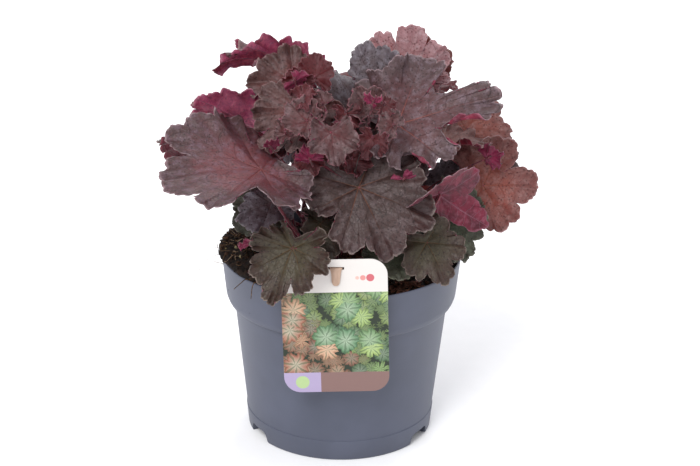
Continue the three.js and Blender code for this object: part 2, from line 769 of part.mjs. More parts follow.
// Free sockets, the one that suits a hub best first.
function socketsFor(hub, sockets) {
  const away = V(...hub).sub(V(CROWN.centre.x, CROWN.centre.y, CROWN.top));
  const flat = Math.hypot(away.x, away.y);
  const lean = clamp01(Math.atan2(flat, away.z) / (75 * DEG));
  const wantX = CROWN.centre.x + (away.x / flat) * SOCKETS.radius * lean;
  const wantY = CROWN.centre.y + (away.y / flat) * SOCKETS.radius * lean;
  const offset = (s) => Math.hypot(s.point.x - wantX, s.point.y - wantY);
  return sockets.filter((s) => !s.taken).sort((a, b) => offset(a) - offset(b));
}

function boxOf(geometry) {
  geometry.computeBoundingBox();
  return geometry.boundingBox;
}

const SEARCH = {
  tries: 700,
  slide: 38, // mm along SLIDE
  aside: 9, // mm any way
  turn: 24, // degrees
  smallest: 0.66,
  shrinkFrom: 0.45, // share of the tries before a leaf may get smaller
  socketChoice: 6,
};
const SLIDE = V(0, -0.93, 0.37); // to and fro along this line a leaf keeps its place in the front view

// Move and turn a leaf, a little further each try, until it meets nothing that stands already.
function placeLeaf(spec, standing, sockets, seed) {
  const random = randomSource(seed * 977 + 13);
  const spread = (amount) => (random() * 2 - 1) * amount;
  for (let attempt = 0; attempt < SEARCH.tries; attempt++) {
    const far = attempt / SEARCH.tries;
    const reach = Math.sqrt(far);
    const shift = SLIDE.clone()
      .multiplyScalar(spread(SEARCH.slide * reach))
      .add(V(spread(SEARCH.aside * reach), spread(SEARCH.aside * reach), spread(SEARCH.aside * reach)));
    const bend = STALK.bow * Math.min(1, Math.sqrt(4 * far));
    const pool = 1 + SEARCH.socketChoice * Math.min(1, 3 * far);
    const turn = new THREE.Euler(...[0, 1, 2].map(() => spread(SEARCH.turn * reach) * DEG));
    const way = V(...spec.tip).sub(V(...spec.hub)).applyEuler(turn);
    const hub = V(...spec.hub).add(shift);
    const choices = socketsFor(spec.hub, sockets);
    const leaf = {
      ...spec,
      seed,
      hub: hub.toArray(),
      tip: hub.clone().add(way).toArray(),
      faces: V(...spec.faces).applyEuler(turn).toArray(),
      size: spec.size * mix(1, SEARCH.smallest, smooth(SEARCH.shrinkFrom, 1, far)),
      bow: V(spread(bend), spread(bend), 0),
      socket: choices[Math.min(choices.length - 1, Math.floor(random() * pool))],
    };
    const geometry = leafGeometry(leaf, BLADE.clearance);
    const box = boxOf(geometry);
    const near = standing.filter((other) => box.intersectsBox(other.box));
    const solid = solidOf(geometry);
    if (near.every((other) => solid.intersect(other.solid).isEmpty())) {
      leaf.socket.taken = true;
      return leaf;
    }
  }
  throw new Error(`no room for ${spec.name}`);
}

// ---------------------------------------------------------------- plant card and its clip

// A flat card with round corners, a little turned in its own plane, in front of the rim.
function makeCard() {
  const { width: w, height: h, corner: r } = CARD;
  const shape = new THREE.Shape();
  const corners = [
    [w / 2 - r, h / 2 - r, 0],
    [-w / 2 + r, h / 2 - r, 90],
    [-w / 2 + r, -h / 2 + r, 180],
    [w / 2 - r, -h / 2 + r, 270],
  ];
  corners.forEach(([x, y, a]) => shape.absarc(x, y, r, a * DEG, (a + 90) * DEG, false));
  const slab = new THREE.ExtrudeGeometry(shape, {
    depth: CARD.thickness,
    bevelEnabled: false,
    curveSegments: 6,
  })
    .rotateX(Math.PI / 2)
    .rotateY(-CARD.lean * DEG)
    .translate(CARD.x, CARD.y, CARD.topZ - h / 2);
  return solidOf(slab);
}

// A tapered strip that hooks over the card and the rim and runs down into the compost.
function clipSolid(grow) {
  const front = CARD.y - CARD.thickness - 0.4 - CLIP.thickness / 2;
  const arch = (front + CLIP.backY) / 2;
  const top = CARD.topZ + 4;
  const line = [
    [front, CARD.topZ - CLIP.frontDrop, CLIP.tipWidth],
    [front, CARD.topZ - CLIP.frontDrop * 0.45, CLIP.width * 0.92],
    [front, CARD.topZ + 1.5, CLIP.width],
    [mix(front, arch, 0.4), top, CLIP.width],
    [mix(arch, CLIP.backY, 0.6), top, CLIP.width],
    [CLIP.backY, CARD.topZ - 2, CLIP.width],
    [CLIP.backY, POT.height, CLIP.width],
    [CLIP.backY, CLIP.bottomZ + 12, CLIP.width],
    [CLIP.backY, CLIP.bottomZ - grow, CLIP.tipWidth],
  ];
  const half = CLIP.thickness / 2 + grow;
  const rings = line.map(([y, z, width], k) => {
    const [y0, z0] = line[Math.max(0, k - 1)];
    const [y1, z1] = line[Math.min(line.length - 1, k + 1)];
    const run = V(0, y1 - y0, z1 - z0).normalize();
    const out = V(0, -run.z, run.y).multiplyScalar(half);
    const side = V(width / 2 + grow, 0, 0);
    const centre = V(CARD.x, y, z);
    return [
      centre.clone().add(out).add(side),
      centre.clone().sub(out).add(side),
      centre.clone().sub(out).sub(side),
      centre.clone().add(out).sub(side),
    ];
  });
  const middle = (ring) => ring.reduce((sum, p) => sum.add(p), V(0, 0, 0)).multiplyScalar(1 / ring.length);
  return solidOf(skinOverRings(middle(rings[0]), rings, middle(rings[rings.length - 1])));
}

// ---------------------------------------------------------------- materials

const finish = (color, roughness) => new THREE.MeshStandardMaterial({ color, roughness, metalness: 0 });
const MATERIALS = {
  pot: finish("#4d5468", 0.55),
  compost: finish("#2f231b", 0.95),
  stock: finish("#4a3328", 0.9),
  card: finish("#f1efec", 0.4),
  clip: finish("#b98d6c", 0.6),
  leaf: finish("#5b4447", 0.5),
};

// ---------------------------------------------------------------- the plant

const plant = new THREE.Group();

function addPiece(name, solidOrGeometry, material) {
  const geometry = solidOrGeometry.isBufferGeometry ? solidOrGeometry : geometryOf(solidOrGeometry);
  const mesh = new THREE.Mesh(geometry, material.clone());
  mesh.name = name;
  plant.add(mesh);
}

const pot = makePot();
const clip = clipSolid(0);
const card = makeCard();
let soil = makeSoil().subtract(crownSolid(CROWN.seatGap)).subtract(clipSolid(CROWN.seatGap));
let crown = crownSolid(0);

const standing = [pot, soil, card, clip].map((solid) => ({ solid, box: boxOf(geometryOf(solid)) }));
const sockets = makeSockets();
const leaves = [];
for (const spec of [...NAMED_LEAVES, ...tierLeaves()]) {
  const leaf = placeLeaf({ ...LEAF_DEFAULTS, ...spec }, standing, sockets, leaves.length + 1);
  const geometry = leafGeometry(leaf);
  standing.push({ solid: solidOf(geometry), box: boxOf(geometry) });
  leaves.push({ leaf, geometry });
}
for (const { leaf } of leaves) crown = crown.subtract(solidOf(leafGeometry(leaf, STALK.holeGap)));

addPiece("pot", pot, MATERIALS.pot);
addPiece("compost", soil, MATERIALS.compost);
addPiece("crown", crown, MATERIALS.stock);
addPiece("plant_card", card, MATERIALS.card);
addPiece("card_clip", clip, MATERIALS.clip);
leaves.forEach(({ leaf, geometry }) => addPiece(leaf.name, geometry, MATERIALS.leaf));

export default plant;
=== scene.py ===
"""A dark-leaved heuchera in a round nursery pot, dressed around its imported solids.

Lengths are in metres unless a name ends in _mm, +Z is up, and the plant card is at the front, towards -Y.
"""

import logging
import math
import random
from dataclasses import dataclass, field
from enum import Enum, IntEnum
from functools import partial
from typing import Any, Callable, Sequence

import bmesh
import bpy
import numpy as np
from mathutils import Matrix, Vector, noise
from mathutils.bvhtree import BVHTree


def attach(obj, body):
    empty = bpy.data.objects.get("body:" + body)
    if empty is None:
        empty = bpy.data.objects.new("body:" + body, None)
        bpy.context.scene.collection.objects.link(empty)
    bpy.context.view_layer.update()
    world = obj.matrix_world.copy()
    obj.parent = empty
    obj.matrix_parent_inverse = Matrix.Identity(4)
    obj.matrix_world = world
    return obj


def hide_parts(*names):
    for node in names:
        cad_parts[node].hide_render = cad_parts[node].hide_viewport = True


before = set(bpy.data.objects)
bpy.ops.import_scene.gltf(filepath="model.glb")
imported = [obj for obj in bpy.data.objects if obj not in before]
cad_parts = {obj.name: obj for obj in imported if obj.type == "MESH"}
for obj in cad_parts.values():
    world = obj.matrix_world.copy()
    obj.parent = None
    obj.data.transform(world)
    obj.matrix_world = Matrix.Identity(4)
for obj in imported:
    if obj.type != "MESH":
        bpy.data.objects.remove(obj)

LOG = logging.getLogger("heuchera")
MM = 0.001
ROOT = "root"
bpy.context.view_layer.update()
TURN = 2 * math.pi
# Rays that look for a surface start this high up and fall.
HIGH, DOWN = 0.2, Vector((0, 0, -1))
MATH, VECTOR = "ShaderNodeMath", "ShaderNodeVectorMath"
MIX, RANGE = "ShaderNodeMix", "ShaderNodeMapRange"
NOISE, CELLS = "ShaderNodeTexNoise", "ShaderNodeTexVoronoi"
COORDS, MAPPING = "ShaderNodeTexCoord", "ShaderNodeMapping"
SPLIT, BUMP = "ShaderNodeSeparateXYZ", "ShaderNodeBump"
SKIN, OUTPUT = "ShaderNodeBsdfPrincipled", "ShaderNodeOutputMaterial"
THROUGH, EITHER = "ShaderNodeBsdfTranslucent", "ShaderNodeMixShader"
SMOOTH = {"interpolation_type": "SMOOTHSTEP"}
Add = Callable[..., bpy.types.NodeSocket]


# ---------------------------------------------------------------- colour and node tools


def linear(hex_colour: str) -> tuple[float, float, float, float]:
    """Turn an sRGB hex colour into linear RGBA.

    Args:
        hex_colour: six hex digits, with or without a leading #.

    Returns:
        Red, green, blue and an alpha of one, all linear.
    """
    digits = hex_colour.lstrip("#")
    channels = [int(digits[i : i + 2], 16) / 255 for i in (0, 2, 4)]
    red, green, blue = (c / 12.92 if c <= 0.04045 else ((c + 0.055) / 1.055) ** 2.4 for c in channels)
    return red, green, blue, 1.0


def add_node(
    tree: bpy.types.NodeTree, kind: str, *feeds: Any, inputs: dict[Any, Any] | None = None, **settings: Any
) -> bpy.types.NodeSocket | None:
    """Add one node with its settings, its values and what feeds it.

    Args:
        tree: the node tree that the node joins.
        kind: Blender's name for the node's type.
        feeds: values or output sockets for the first inputs, in order; None leaves an input as it is.
        inputs: the same by socket name or number.
        settings: the node's own properties.

    Returns:
        The node's first output in use, or None where it has none.
    """
    node = tree.nodes.new(kind)
    for name, value in settings.items():
        setattr(node, name, value)
    for key, value in (dict(enumerate(feeds)) | (inputs or {})).items():
        if isinstance(value, bpy.types.NodeSocket):
            tree.links.new(value, node.inputs[key])
        elif value is not None:
            node.inputs[key].default_value = value
    return next((socket for socket in node.outputs if socket.enabled), None)


def new_material(name: str) -> tuple[bpy.types.Material, Add]:
    """Start an empty node material.

    Args:
        name: what the real material is called.

    Returns:
        The material, and add_node for its node tree.
    """
    material = bpy.data.materials.new(name)
    material.use_nodes = True
    material.node_tree.nodes.clear()
    return material, partial(add_node, material.node_tree)


# ---------------------------------------------------------------- mesh tools


def ease(share: Any) -> Any:
    """Clip a number or an array to 0..1 and ease it in and out."""
    share = np.clip(share, 0, 1)
    return share * share * (3 - 2 * share)


def merged_copy(node_name: str) -> bmesh.types.BMesh:
    """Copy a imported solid's mesh with its loose triangles joined.

    Args:
        node_name: the solid's name.

    Returns:
        A new bmesh, which the caller frees.
    """
    bm = bmesh.new()
    bm.from_mesh(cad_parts[node_name].data)
    bmesh.ops.remove_doubles(bm, verts=bm.verts, dist=1e-6)
    bm.verts.ensure_lookup_table()
    bm.verts.index_update()
    return bm


def to_object(bm: bmesh.types.BMesh, name: str, materials: Sequence[bpy.types.Material]) -> bpy.types.Object:
    """Turn a bmesh into a smooth-shaded object at the origin and free it.

    Args:
        bm: the finished bmesh.
        name: the piece's name.
        materials: the materials for its slots, in order.

    Returns:
        The new object, linked to the scene.
    """
    mesh = bpy.data.meshes.new(name)
    for face in bm.faces:
        face.smooth = True
    bm.to_mesh(mesh)
    bm.free()
    for material in materials:
        mesh.materials.append(material)
    piece = bpy.data.objects.new(name, mesh)
    bpy.context.scene.collection.objects.link(piece)
    return piece


def apply_modifiers(piece: bpy.types.Object) -> None:
    """Make a piece's modifiers part of its mesh.

    Args:
        piece: the piece, whose mesh is replaced.
    """
    bpy.context.view_layer.update()
    finished = bpy.data.meshes.new_from_object(piece.evaluated_get(bpy.context.evaluated_depsgraph_get()))
    finished.name = piece.data.name
    old = piece.data
    piece.modifiers.clear()
    piece.data = finished
    bpy.data.meshes.remove(old)


def discard(piece: bpy.types.Object) -> None:
    """Delete a helper object and its mesh.

    Args:
        piece: the helper.
    """
    mesh = piece.data
    bpy.data.objects.remove(piece)
    bpy.data.meshes.remove(mesh)


def cut_away(piece: bpy.types.Object, cutters: Sequence[bpy.types.Object]) -> None:
    """Take closed shapes away from a piece, and delete them.

    Args:
        piece: what is cut.
        cutters: the shapes.
    """
    for cutter in cutters:
        cut = piece.modifiers.new("cut", "BOOLEAN")
        cut.operation = "DIFFERENCE"
        cut.solver = "EXACT"
        cut.object = cutter
    apply_modifiers(piece)
    for cutter in cutters:
        discard(cutter)


def set_slot(verts: Sequence[bmesh.types.BMVert], slot: int) -> None:
    """Give the faces round some points their material slot."""
    for face in {face for vert in verts for face in vert.link_faces}:
        face.material_index = slot


def add_tube(
    bm: bmesh.types.BMesh, path: Sequence[Vector], radii: Sequence[float], sides: int, slot: int
) -> None:
    """Lay a grid round a path as a round stem, weld its seam and close its ends.

    Args:
        bm: the bmesh that the stem joins.
        path: the points along its middle.
        radii: the stem's radius at each point.
        sides: how many sides it has.
        slot: its material slot.
    """
    stem = bmesh.new()
    made = list(bmesh.ops.create_grid(stem, x_segments=sides, y_segments=len(path) - 1, size=1.0)["verts"])
    across = (path[1] - path[0]).orthogonal().normalized()
    for k, centre in enumerate(path):
        way = (path[min(k + 1, len(path) - 1)] - path[max(k - 1, 0)]).normalized()
        across = (across - way * across.dot(way)).normalized()
        other = way.cross(across)
        for i, vert in enumerate(made[k * (sides + 1) : (k + 1) * (sides + 1)]):
            turn = TURN * (i % sides) / sides
            vert.co = centre + (across * math.cos(turn) + other * math.sin(turn)) * radii[k]
    bmesh.ops.remove_doubles(stem, verts=stem.verts, dist=1e-7)
    bmesh.ops.holes_fill(stem, edges=[edge for edge in stem.edges if edge.is_boundary], sides=sides)
    bmesh.ops.recalc_face_normals(stem, faces=stem.faces)
    set_slot(stem.verts, slot)
    join_meshes(bm, stem)


def join_meshes(bm: bmesh.types.BMesh, extra: bmesh.types.BMesh) -> None:
    """Add one bmesh to another and free it.

    Args:
        bm: the bmesh that grows.
        extra: the bmesh that joins it.
    """
    mesh = bpy.data.meshes.new("joining")
    extra.to_mesh(mesh)
    extra.free()
    bm.from_mesh(mesh)
    bpy.data.meshes.remove(mesh)


def flowing_path(points: Sequence[Vector], steps: int) -> list[Vector]:
    """Run a smooth line through some points.

    Args:
        points: the points that the line passes.
        steps: how many pieces the whole line is cut into.

    Returns:
        steps + 1 points, evenly shared between the given ones.
    """
    table = np.array([tuple(p) for p in points])
    spots = np.linspace(0, len(points) - 1, steps + 1)
    return [Vector(p) for p in spline_rows(table, spots)]


def spline_rows(table: np.ndarray, spots: np.ndarray) -> np.ndarray:
    """Read a table of points at fractional rows, on a smooth line through them.

    Args:
        table: one point or row of points for each whole number.
        spots: the rows to read, from 0 to the last.

    Returns:
        The table's values at the spots.
    """
    last = len(table) - 1
    start = np.clip(np.floor(spots).astype(int), 0, last - 1)
    t = (spots - start).reshape((-1,) + (1,) * (table.ndim - 1))
    before = np.clip(start - 1, 0, last)
    after = np.clip(start + 2, 0, last)
    p0, p1, p2, p3 = table[before], table[start], table[start + 1], table[after]
    square, cube = 2 * p0 - 5 * p1 + 4 * p2 - p3, 3 * p1 - p0 - 3 * p2 + p3
    return 0.5 * (2 * p1 + (p2 - p0) * t + square * t**2 + cube * t**3)


# ---------------------------------------------------------------- leaf finishes


class Leaf(Enum):
    """The ages and exposures of leaf that differ in colour; rose and blush are lighter partly with painted
    backlight.
    """

    PLUM = "plum"
    DUSK = "dusk"
    RUSSET = "russet"
    SLATE = "slate"
    OLIVE = "olive"
    GREEN = "green"
    ROSE = "rose"
    BLUSH = "blush"
    WINE = "wine"
    YOUNG = "young"
    MAGENTA = "magenta"
    SILVER = "silver"


@dataclass(frozen=True)
class VeinPattern:
    """Where the veins of a palmate blade run, in lobes round and shares of its length out."""

    lobe_angle: float = 0.85
    main_width: float = 0.012
    side_count: float = 5.5
    side_slant: float = 0.85
    side_width: float = 0.05
    net_mm: float = 2.6

    def masks(self, add: Add) -> dict[str, bpy.types.NodeSocket]:
        """Draw the pattern.

        Args:
            add: adds a node to the material.

        Returns:
            Sockets for the main veins, side veins, fine net, way out, way to the edge, the leaf's own
            number and its place.
        """
        around = add(SPLIT, add("ShaderNodeUVMap", uv_map="Spread"))
        out = around.node.outputs["Y"]
        edge = add(SPLIT, add("ShaderNodeUVMap", uv_map="Margin"))
        centre = add(MATH, around, operation="ROUND")
        off = add(MATH, add(MATH, around, centre, operation="SUBTRACT"), operation="ABSOLUTE")
        turn = add(MATH, off, self.lobe_angle, operation="MULTIPLY")
        aside = add(MATH, out, add(MATH, turn, operation="SINE"), operation="MULTIPLY")
        ahead = add(MATH, out, add(MATH, turn, operation="COSINE"), operation="MULTIPLY")
        # The main veins run out along the lobes and grow finer.
        taper = add(MATH, out, -0.6 * self.main_width, self.main_width, operation="MULTIPLY_ADD")
        main = add(RANGE, add(MATH, aside, taper, operation="DIVIDE"), 0.0, 1.0, 1.0, 0.0)
        # The side veins leave them slantwise at even steps.
        along = add(MATH, aside, -self.side_slant, ahead, operation="MULTIPLY_ADD")
        step = add(MATH, along, self.side_count, 0.7, operation="MULTIPLY_ADD")
        saw = add(MATH, add(MATH, step, operation="FRACT"), 0.5, operation="SUBTRACT")
        near = add(MATH, saw, operation="ABSOLUTE")
        side = add(RANGE, near, self.side_width, 0.0, **SMOOTH)
        begin = add(RANGE, along, 0.12, 0.2, **SMOOTH)
        place = add(COORDS).node.outputs["Object"]
        cells = add(CELLS, place, None, 1 / (self.net_mm * MM), feature="DISTANCE_TO_EDGE")
        return {
            "main": main,
            "side": add(MATH, side, begin, operation="MULTIPLY"),
            "net": add(RANGE, cells, 0.09, 0.0, **SMOOTH),
            "out": out,
            "edge": edge,
            "own": edge.node.outputs["Y"],
            "place": place,
        }


@dataclass(frozen=True)
class UpperSkin:
    """The upper side of a heuchera leaf: waxy, quilted between sunk veins, with a pewter bloom that is partly
    painted sheen, painted glints and painted shade in the veins.
    """

    name: str
    heart: str
    outer: str
    # Colour of the bloom: partly the leaf's own pewter, partly painted sheen.
    bloom_and_sheen: str
    vein: str
    # Colour of the rim and of the painted glints: partly the margin's own, partly painted highlight.
    rim: str
    glow: str
    glow_share: float = 0.12
    # The bloom's share, partly painted sheen.
    bloom_and_sheen_share: float = 0.48
    roughness: float = 0.34
    # Colour of the dark specks, and of the painted shade in the sunk veins.
    groove: str = "#1d1110"
    drift_mm: float = 17.0
    quilt_mm: float = 5.5
    speck_mm: float = 2.8
    # Size of the painted glints, fine painted highlights.
    painted_glint_mm: float = 1.6
    dust_mm: float = 1.3
    grain_mm: float = 0.7
    relief_mm: float = 0.6
    veins: VeinPattern = VeinPattern()

    def make(self) -> bpy.types.Material:
        """Build the material.

        Returns:
            The material.
        """
        material, add = new_material(self.name)
        mask = self.veins.masks(add)
        place, edge = mask["place"], mask["edge"]
        # Broad drifts carry the colour from the heart of the leaf to its outer part.
        drift = add(NOISE, place, None, 1 / (self.drift_mm * MM), 3.0)
        drift = add(MATH, drift, 0.7, edge, operation="MULTIPLY_ADD")
        drift = add(RANGE, drift, 0.7, 1.3, **SMOOTH)
        # The bloom lies in soft patches between the veins, partly its own silvery colour and partly painted
        # sheen, with finer painted glints on them.
        mottle = add(NOISE, place, None, 1 / (self.quilt_mm * MM), 4.0, 0.55)
        patch = add(RANGE, mottle, 0.42, 0.7, 0.0, self.bloom_and_sheen_share, **SMOOTH)
        # Painted glints: fine painted highlights on the bloom, in the rim's pale colour.
        painted_glint = add(NOISE, place, None, 1 / (self.painted_glint_mm * MM), 4.0, 0.7)
        painted_glint = add(RANGE, painted_glint, 0.54, 0.74, 0.0, 0.4, **SMOOTH)
        painted_glint = add(MATH, painted_glint, add(RANGE, mottle, 0.4, 0.62), operation="MULTIPLY")
        # Fine dark specks, as on leaves that have stood in the sun.
        speck = add(CELLS, place, None, 1 / (self.speck_mm * MM))
        speck = add(RANGE, speck, 0.32, 0.16, 0.0, 0.7, **SMOOTH)
        # Side veins and the fine net are darker: painted shade in their sunk grooves.
        net = add(MATH, mask["net"], 0.5, operation="MULTIPLY")
        lines = add(MATH, mask["side"], net, operation="MAXIMUM")
        dark = add(MATH, lines, 0.5, operation="MULTIPLY")
        # The main veins are coral near the hub and fade outwards.
        main = add(RANGE, mask["out"], 0.75, 0.05, 0.1, 0.8, **SMOOTH)
        main = add(MATH, mask["main"], main, operation="MULTIPLY")
        # A pale hair-thin rim, broken here and there: partly the margin's own pale colour, partly painted
        # highlight where the edge hairs catch the light.
        rim = add(RANGE, edge, 0.968, 1.0, 0.0, 1.0, **SMOOTH)
        rim = add(MATH, rim, add(RANGE, mottle, 0.36, 0.62, 0.1, 0.85), operation="MULTIPLY")
        shares = (drift, patch, painted_glint, speck, dark, main, rim)
        colours = (self.outer, self.bloom_and_sheen, self.rim, self.groove, self.groove, self.vein, self.rim)
        body = linear(self.heart)
        for share, colour in zip(shares, colours):
            body = add(MIX, share, data_type="RGBA", inputs={6: body, 7: linear(colour)})
        # Each leaf has a tone of its own, under fine dust.
        tone = add(MATH, mask["own"], 0.4, 0.58, operation="MULTIPLY_ADD")
        dust = add(NOISE, place, None, 1 / (self.dust_mm * MM), 3.0, 0.65)
        tone = add(MATH, dust, 0.58, tone, operation="MULTIPLY_ADD")
        body = add(VECTOR, body, inputs={"Scale": tone}, operation="SCALE")
        grain = add(NOISE, place, None, 1 / (self.grain_mm * MM), 2.0)
        relief = mottle
        for part, weight in ((lines, -0.6), (mask["main"], -0.8), (grain, 0.25)):
            relief = add(MATH, part, weight, relief, operation="MULTIPLY_ADD")
        bump = add(BUMP, inputs={"Strength": 0.6, "Distance": self.relief_mm * MM, "Height": relief})
        gloss = add(MATH, mottle, 0.3, self.roughness, operation="MULTIPLY_ADD")
        skin = {"Base Color": body, "Roughness": gloss, "IOR": 1.45, "Specular IOR Level": 0.5}
        skin = add(SKIN, inputs={**skin, "Normal": bump})
        through = add(THROUGH, linear(self.glow), inputs={"Normal": bump})
        add(OUTPUT, add(EITHER, self.glow_share, skin, through))
        return material


@dataclass(frozen=True)
class Underside:
    """The lower side of a heuchera leaf: crimson to magenta, finely downy, with raised veins."""

    name: str
    base: str
    deep: str
    vein: str
    glow: str
    glow_share: float = 0.14
    roughness: float = 0.42
    drift_mm: float = 12.0
    # Size of the patches of painted sheen.
    painted_sheen_mm: float = 3.5
    down_mm: float = 0.6
    relief_mm: float = 0.7
    veins: VeinPattern = VeinPattern(main_width=0.02, net_mm=3.0)

    def make(self) -> bpy.types.Material:
        """Build the material.

        Returns:
            The material.
        """
        material, add = new_material(self.name)
        mask = self.veins.masks(add)
        place = mask["place"]
        drift = add(NOISE, place, None, 1 / (self.drift_mm * MM), 4.0)
        drift = add(RANGE, drift, 0.35, 0.65, **SMOOTH)
        net = add(MATH, mask["net"], 0.35, operation="MULTIPLY")
        # Paler flecks and patches of painted sheen, where the down catches the light.
        mottle = add(NOISE, place, None, 1 / (self.painted_sheen_mm * MM), 4.0, 0.62)
        painted_sheen = add(RANGE, mottle, 0.46, 0.72, 0.0, 0.36, **SMOOTH)
        # The veins stand out paler than the skin between them, and so does the rim.
        side = add(MATH, mask["side"], 0.7, operation="MULTIPLY")
        lines = add(MATH, mask["main"], side, operation="MAXIMUM")
        rim = add(RANGE, mask["edge"], 0.95, 1.0, 0.0, 1.0, **SMOOTH)
        pale = add(MATH, lines, rim, operation="MAXIMUM")
        pale = add(MATH, pale, 0.6, operation="MULTIPLY")
        body = linear(self.deep)
        for share, colour in ((drift, self.base), (net, self.deep), (painted_sheen, self.vein), (pale, self.vein)):
            body = add(MIX, share, data_type="RGBA", inputs={6: body, 7: linear(colour)})
        tone = add(MATH, mask["own"], 0.4, 0.8, operation="MULTIPLY_ADD")
        body = add(VECTOR, body, inputs={"Scale": tone}, operation="SCALE")
        down = add(NOISE, place, None, 1 / (self.down_mm * MM), 3.0)
        relief = add(MATH, down, 0.3, lines, operation="MULTIPLY_ADD")
        relief = add(MATH, mottle, 0.8, relief, operation="MULTIPLY_ADD")
        bump = add(BUMP, inputs={"Strength": 0.7, "Distance": self.relief_mm * MM, "Height": relief})
        skin = {"Base Color": body, "Roughness": self.roughness, "IOR": 1.45, "Sheen Weight": 0.08}
        skin = add(SKIN, inputs={**skin, "Normal": bump})
        # Light from above comes through in blotches, and less of it through the veins.
        blotch = add(RANGE, mottle, 0.34, 0.66, 0.6, 1.4)
        blotch = add(MATH, lines, -0.6, blotch, operation="MULTIPLY_ADD")
        glow = add(VECTOR, linear(self.glow)[:3], inputs={"Scale": blotch}, operation="SCALE")
        through = add(THROUGH, glow, inputs={"Normal": bump})
        add(OUTPUT, add(EITHER, self.glow_share, skin, through))
        return material


@dataclass(frozen=True)
class StreakedSkin:
    """A slim stem or a moulded strip: satin, streaked along its length, and downy where it grew."""

    name: str
    dark: str
    pale: str
    roughness: float = 0.42
    streak_mm: float = 1.4
    relief_mm: float = 0.2
    sheen: float = 0.2

    def make(self) -> bpy.types.Material:
        """Build the material.

        Returns:
            The material.
        """
        material, add = new_material(self.name)
        place = add(COORDS).node.outputs["Object"]
        stretch = add(MAPPING, place, inputs={"Scale": (1.0, 1.0, 0.18)})
        streak = add(NOISE, stretch, None, 1 / (self.streak_mm * MM), 3.0)
        turn = add(RANGE, streak, 0.35, 0.7, **SMOOTH)
        body = add(MIX, turn, data_type="RGBA", inputs={6: linear(self.dark), 7: linear(self.pale)})
        bump = add(BUMP, inputs={"Strength": 0.5, "Distance": self.relief_mm * MM, "Height": streak})
        skin = {"Base Color": body, "Roughness": self.roughness, "IOR": 1.45, "Sheen Weight": self.sheen}
        add(OUTPUT, add(SKIN, inputs={**skin, "Normal": bump}))
        return material


# Heart, outer part, bloom with painted sheen, main veins, rim with painted highlight and the light that comes
# through.
UPPER_SKINS = {
    Leaf.PLUM: UpperSkin("plum_leaf_upper", "#713a3f", "#4c3536", "#7c6472", "#8f4a3e", "#b0969a", "#b03424"),
    Leaf.DUSK: UpperSkin("dusky_leaf_upper", "#4d2b2d", "#483637", "#74636c", "#8a4a3e", "#a58e92", "#a02c20"),
    Leaf.RUSSET: UpperSkin(
        "russet_leaf_upper", "#62322f", "#543936", "#7a6263", "#8a4438", "#a88a88", "#a83020"
    ),
    Leaf.SLATE: UpperSkin(
        "slate_leaf_upper", "#3e2a26", "#412a28", "#69595b", "#7e4a2e", "#9c8c86", "#7a3018", bloom_and_sheen_share=0.5
    ),
    Leaf.OLIVE: UpperSkin("olive_leaf_upper", "#403824", "#3c2b24", "#524d40", "#70502f", "#94857a", "#6a4418"),
    Leaf.GREEN: UpperSkin("green_leaf_upper", "#3d4632", "#3f3d32", "#626856", "#5c5a38", "#868470", "#56601c"),
    # Rose and blush: partly the leaves' own salmon colour, partly painted backlight, lighter where light comes
    # through them at the top and right.
    Leaf.ROSE: UpperSkin(
        "rose_leaf_upper_with_painted_backlight", "#7b4238", "#6a4440", "#8d6c68", "#9c5844", "#b89a9a", "#d0583c", glow_share=0.24
    ),
    Leaf.BLUSH: UpperSkin(
        "blush_leaf_upper_with_painted_backlight", "#9f7476", "#a58488", "#c2aeb1", "#a5705f", "#b8a4a6", "#f0705c", glow_share=0.32
    ),
    Leaf.WINE: UpperSkin(
        "wine_leaf_upper", "#5c2529", "#562a2e", "#765054", "#8a3a38", "#a46c74", "#d03028", glow_share=0.26
    ),
    Leaf.YOUNG: UpperSkin(
        "young_leaf_upper", "#552c2d", "#594040", "#806c6f", "#86343c", "#935c64", "#a82c2c", bloom_and_sheen_share=0.46
    ),
    Leaf.MAGENTA: UpperSkin(
        "shaded_plum_leaf_upper", "#5a3436", "#5a4244", "#776468", "#8a4a3a", "#8f7270", "#b03424"
    ),
    Leaf.SILVER: UpperSkin(
        "silver_leaf_upper", "#5a4b4e", "#64585e", "#96909a", "#6c4c48", "#938c8b", "#7a3a30"
    ),
}
# Raised skin, hollows, veins (also the painted sheen) and the light that comes through.
UNDERSIDES = {
    Leaf.PLUM: Underside("crimson_underside", "#7f1836", "#4f0b20", "#a8687c", "#d8335e", 0.24),
    # Magenta underside: partly its own colour, partly painted light, made paler where these leaves face down
    # away from the lamps.
    Leaf.MAGENTA: Underside("magenta_underside_with_painted_light", "#c06a8a", "#a4466c", "#cf92a6", "#f890ac", 0.55),
    Leaf.YOUNG: Underside("purple_red_underside", "#97264f", "#6a1236", "#b45478", "#e04880", 0.3),
    Leaf.SLATE: Underside("garnet_underside", "#6e162c", "#4c0d1c", "#8f3c4c", "#b02434", 0.2),
    Leaf.SILVER: Underside("pewter_underside", "#522236", "#3a1a26", "#7c4a5a", "#8c2038"),
}
STALK = StreakedSkin("downy_red_leaf_stalk", "#481420", "#84303f")
HAIR = StreakedSkin("glandular_hair", "#7c3a46", "#b98086", roughness=0.5, streak_mm=3.0)


# ---------------------------------------------------------------- leaves


SPOKES_A_LOBE = 4


class LeafSlot(IntEnum):
    """The material slots of a leaf."""

    UPPER = 0
    LOWER = 1
    STALK = 2
    HAIR = 3


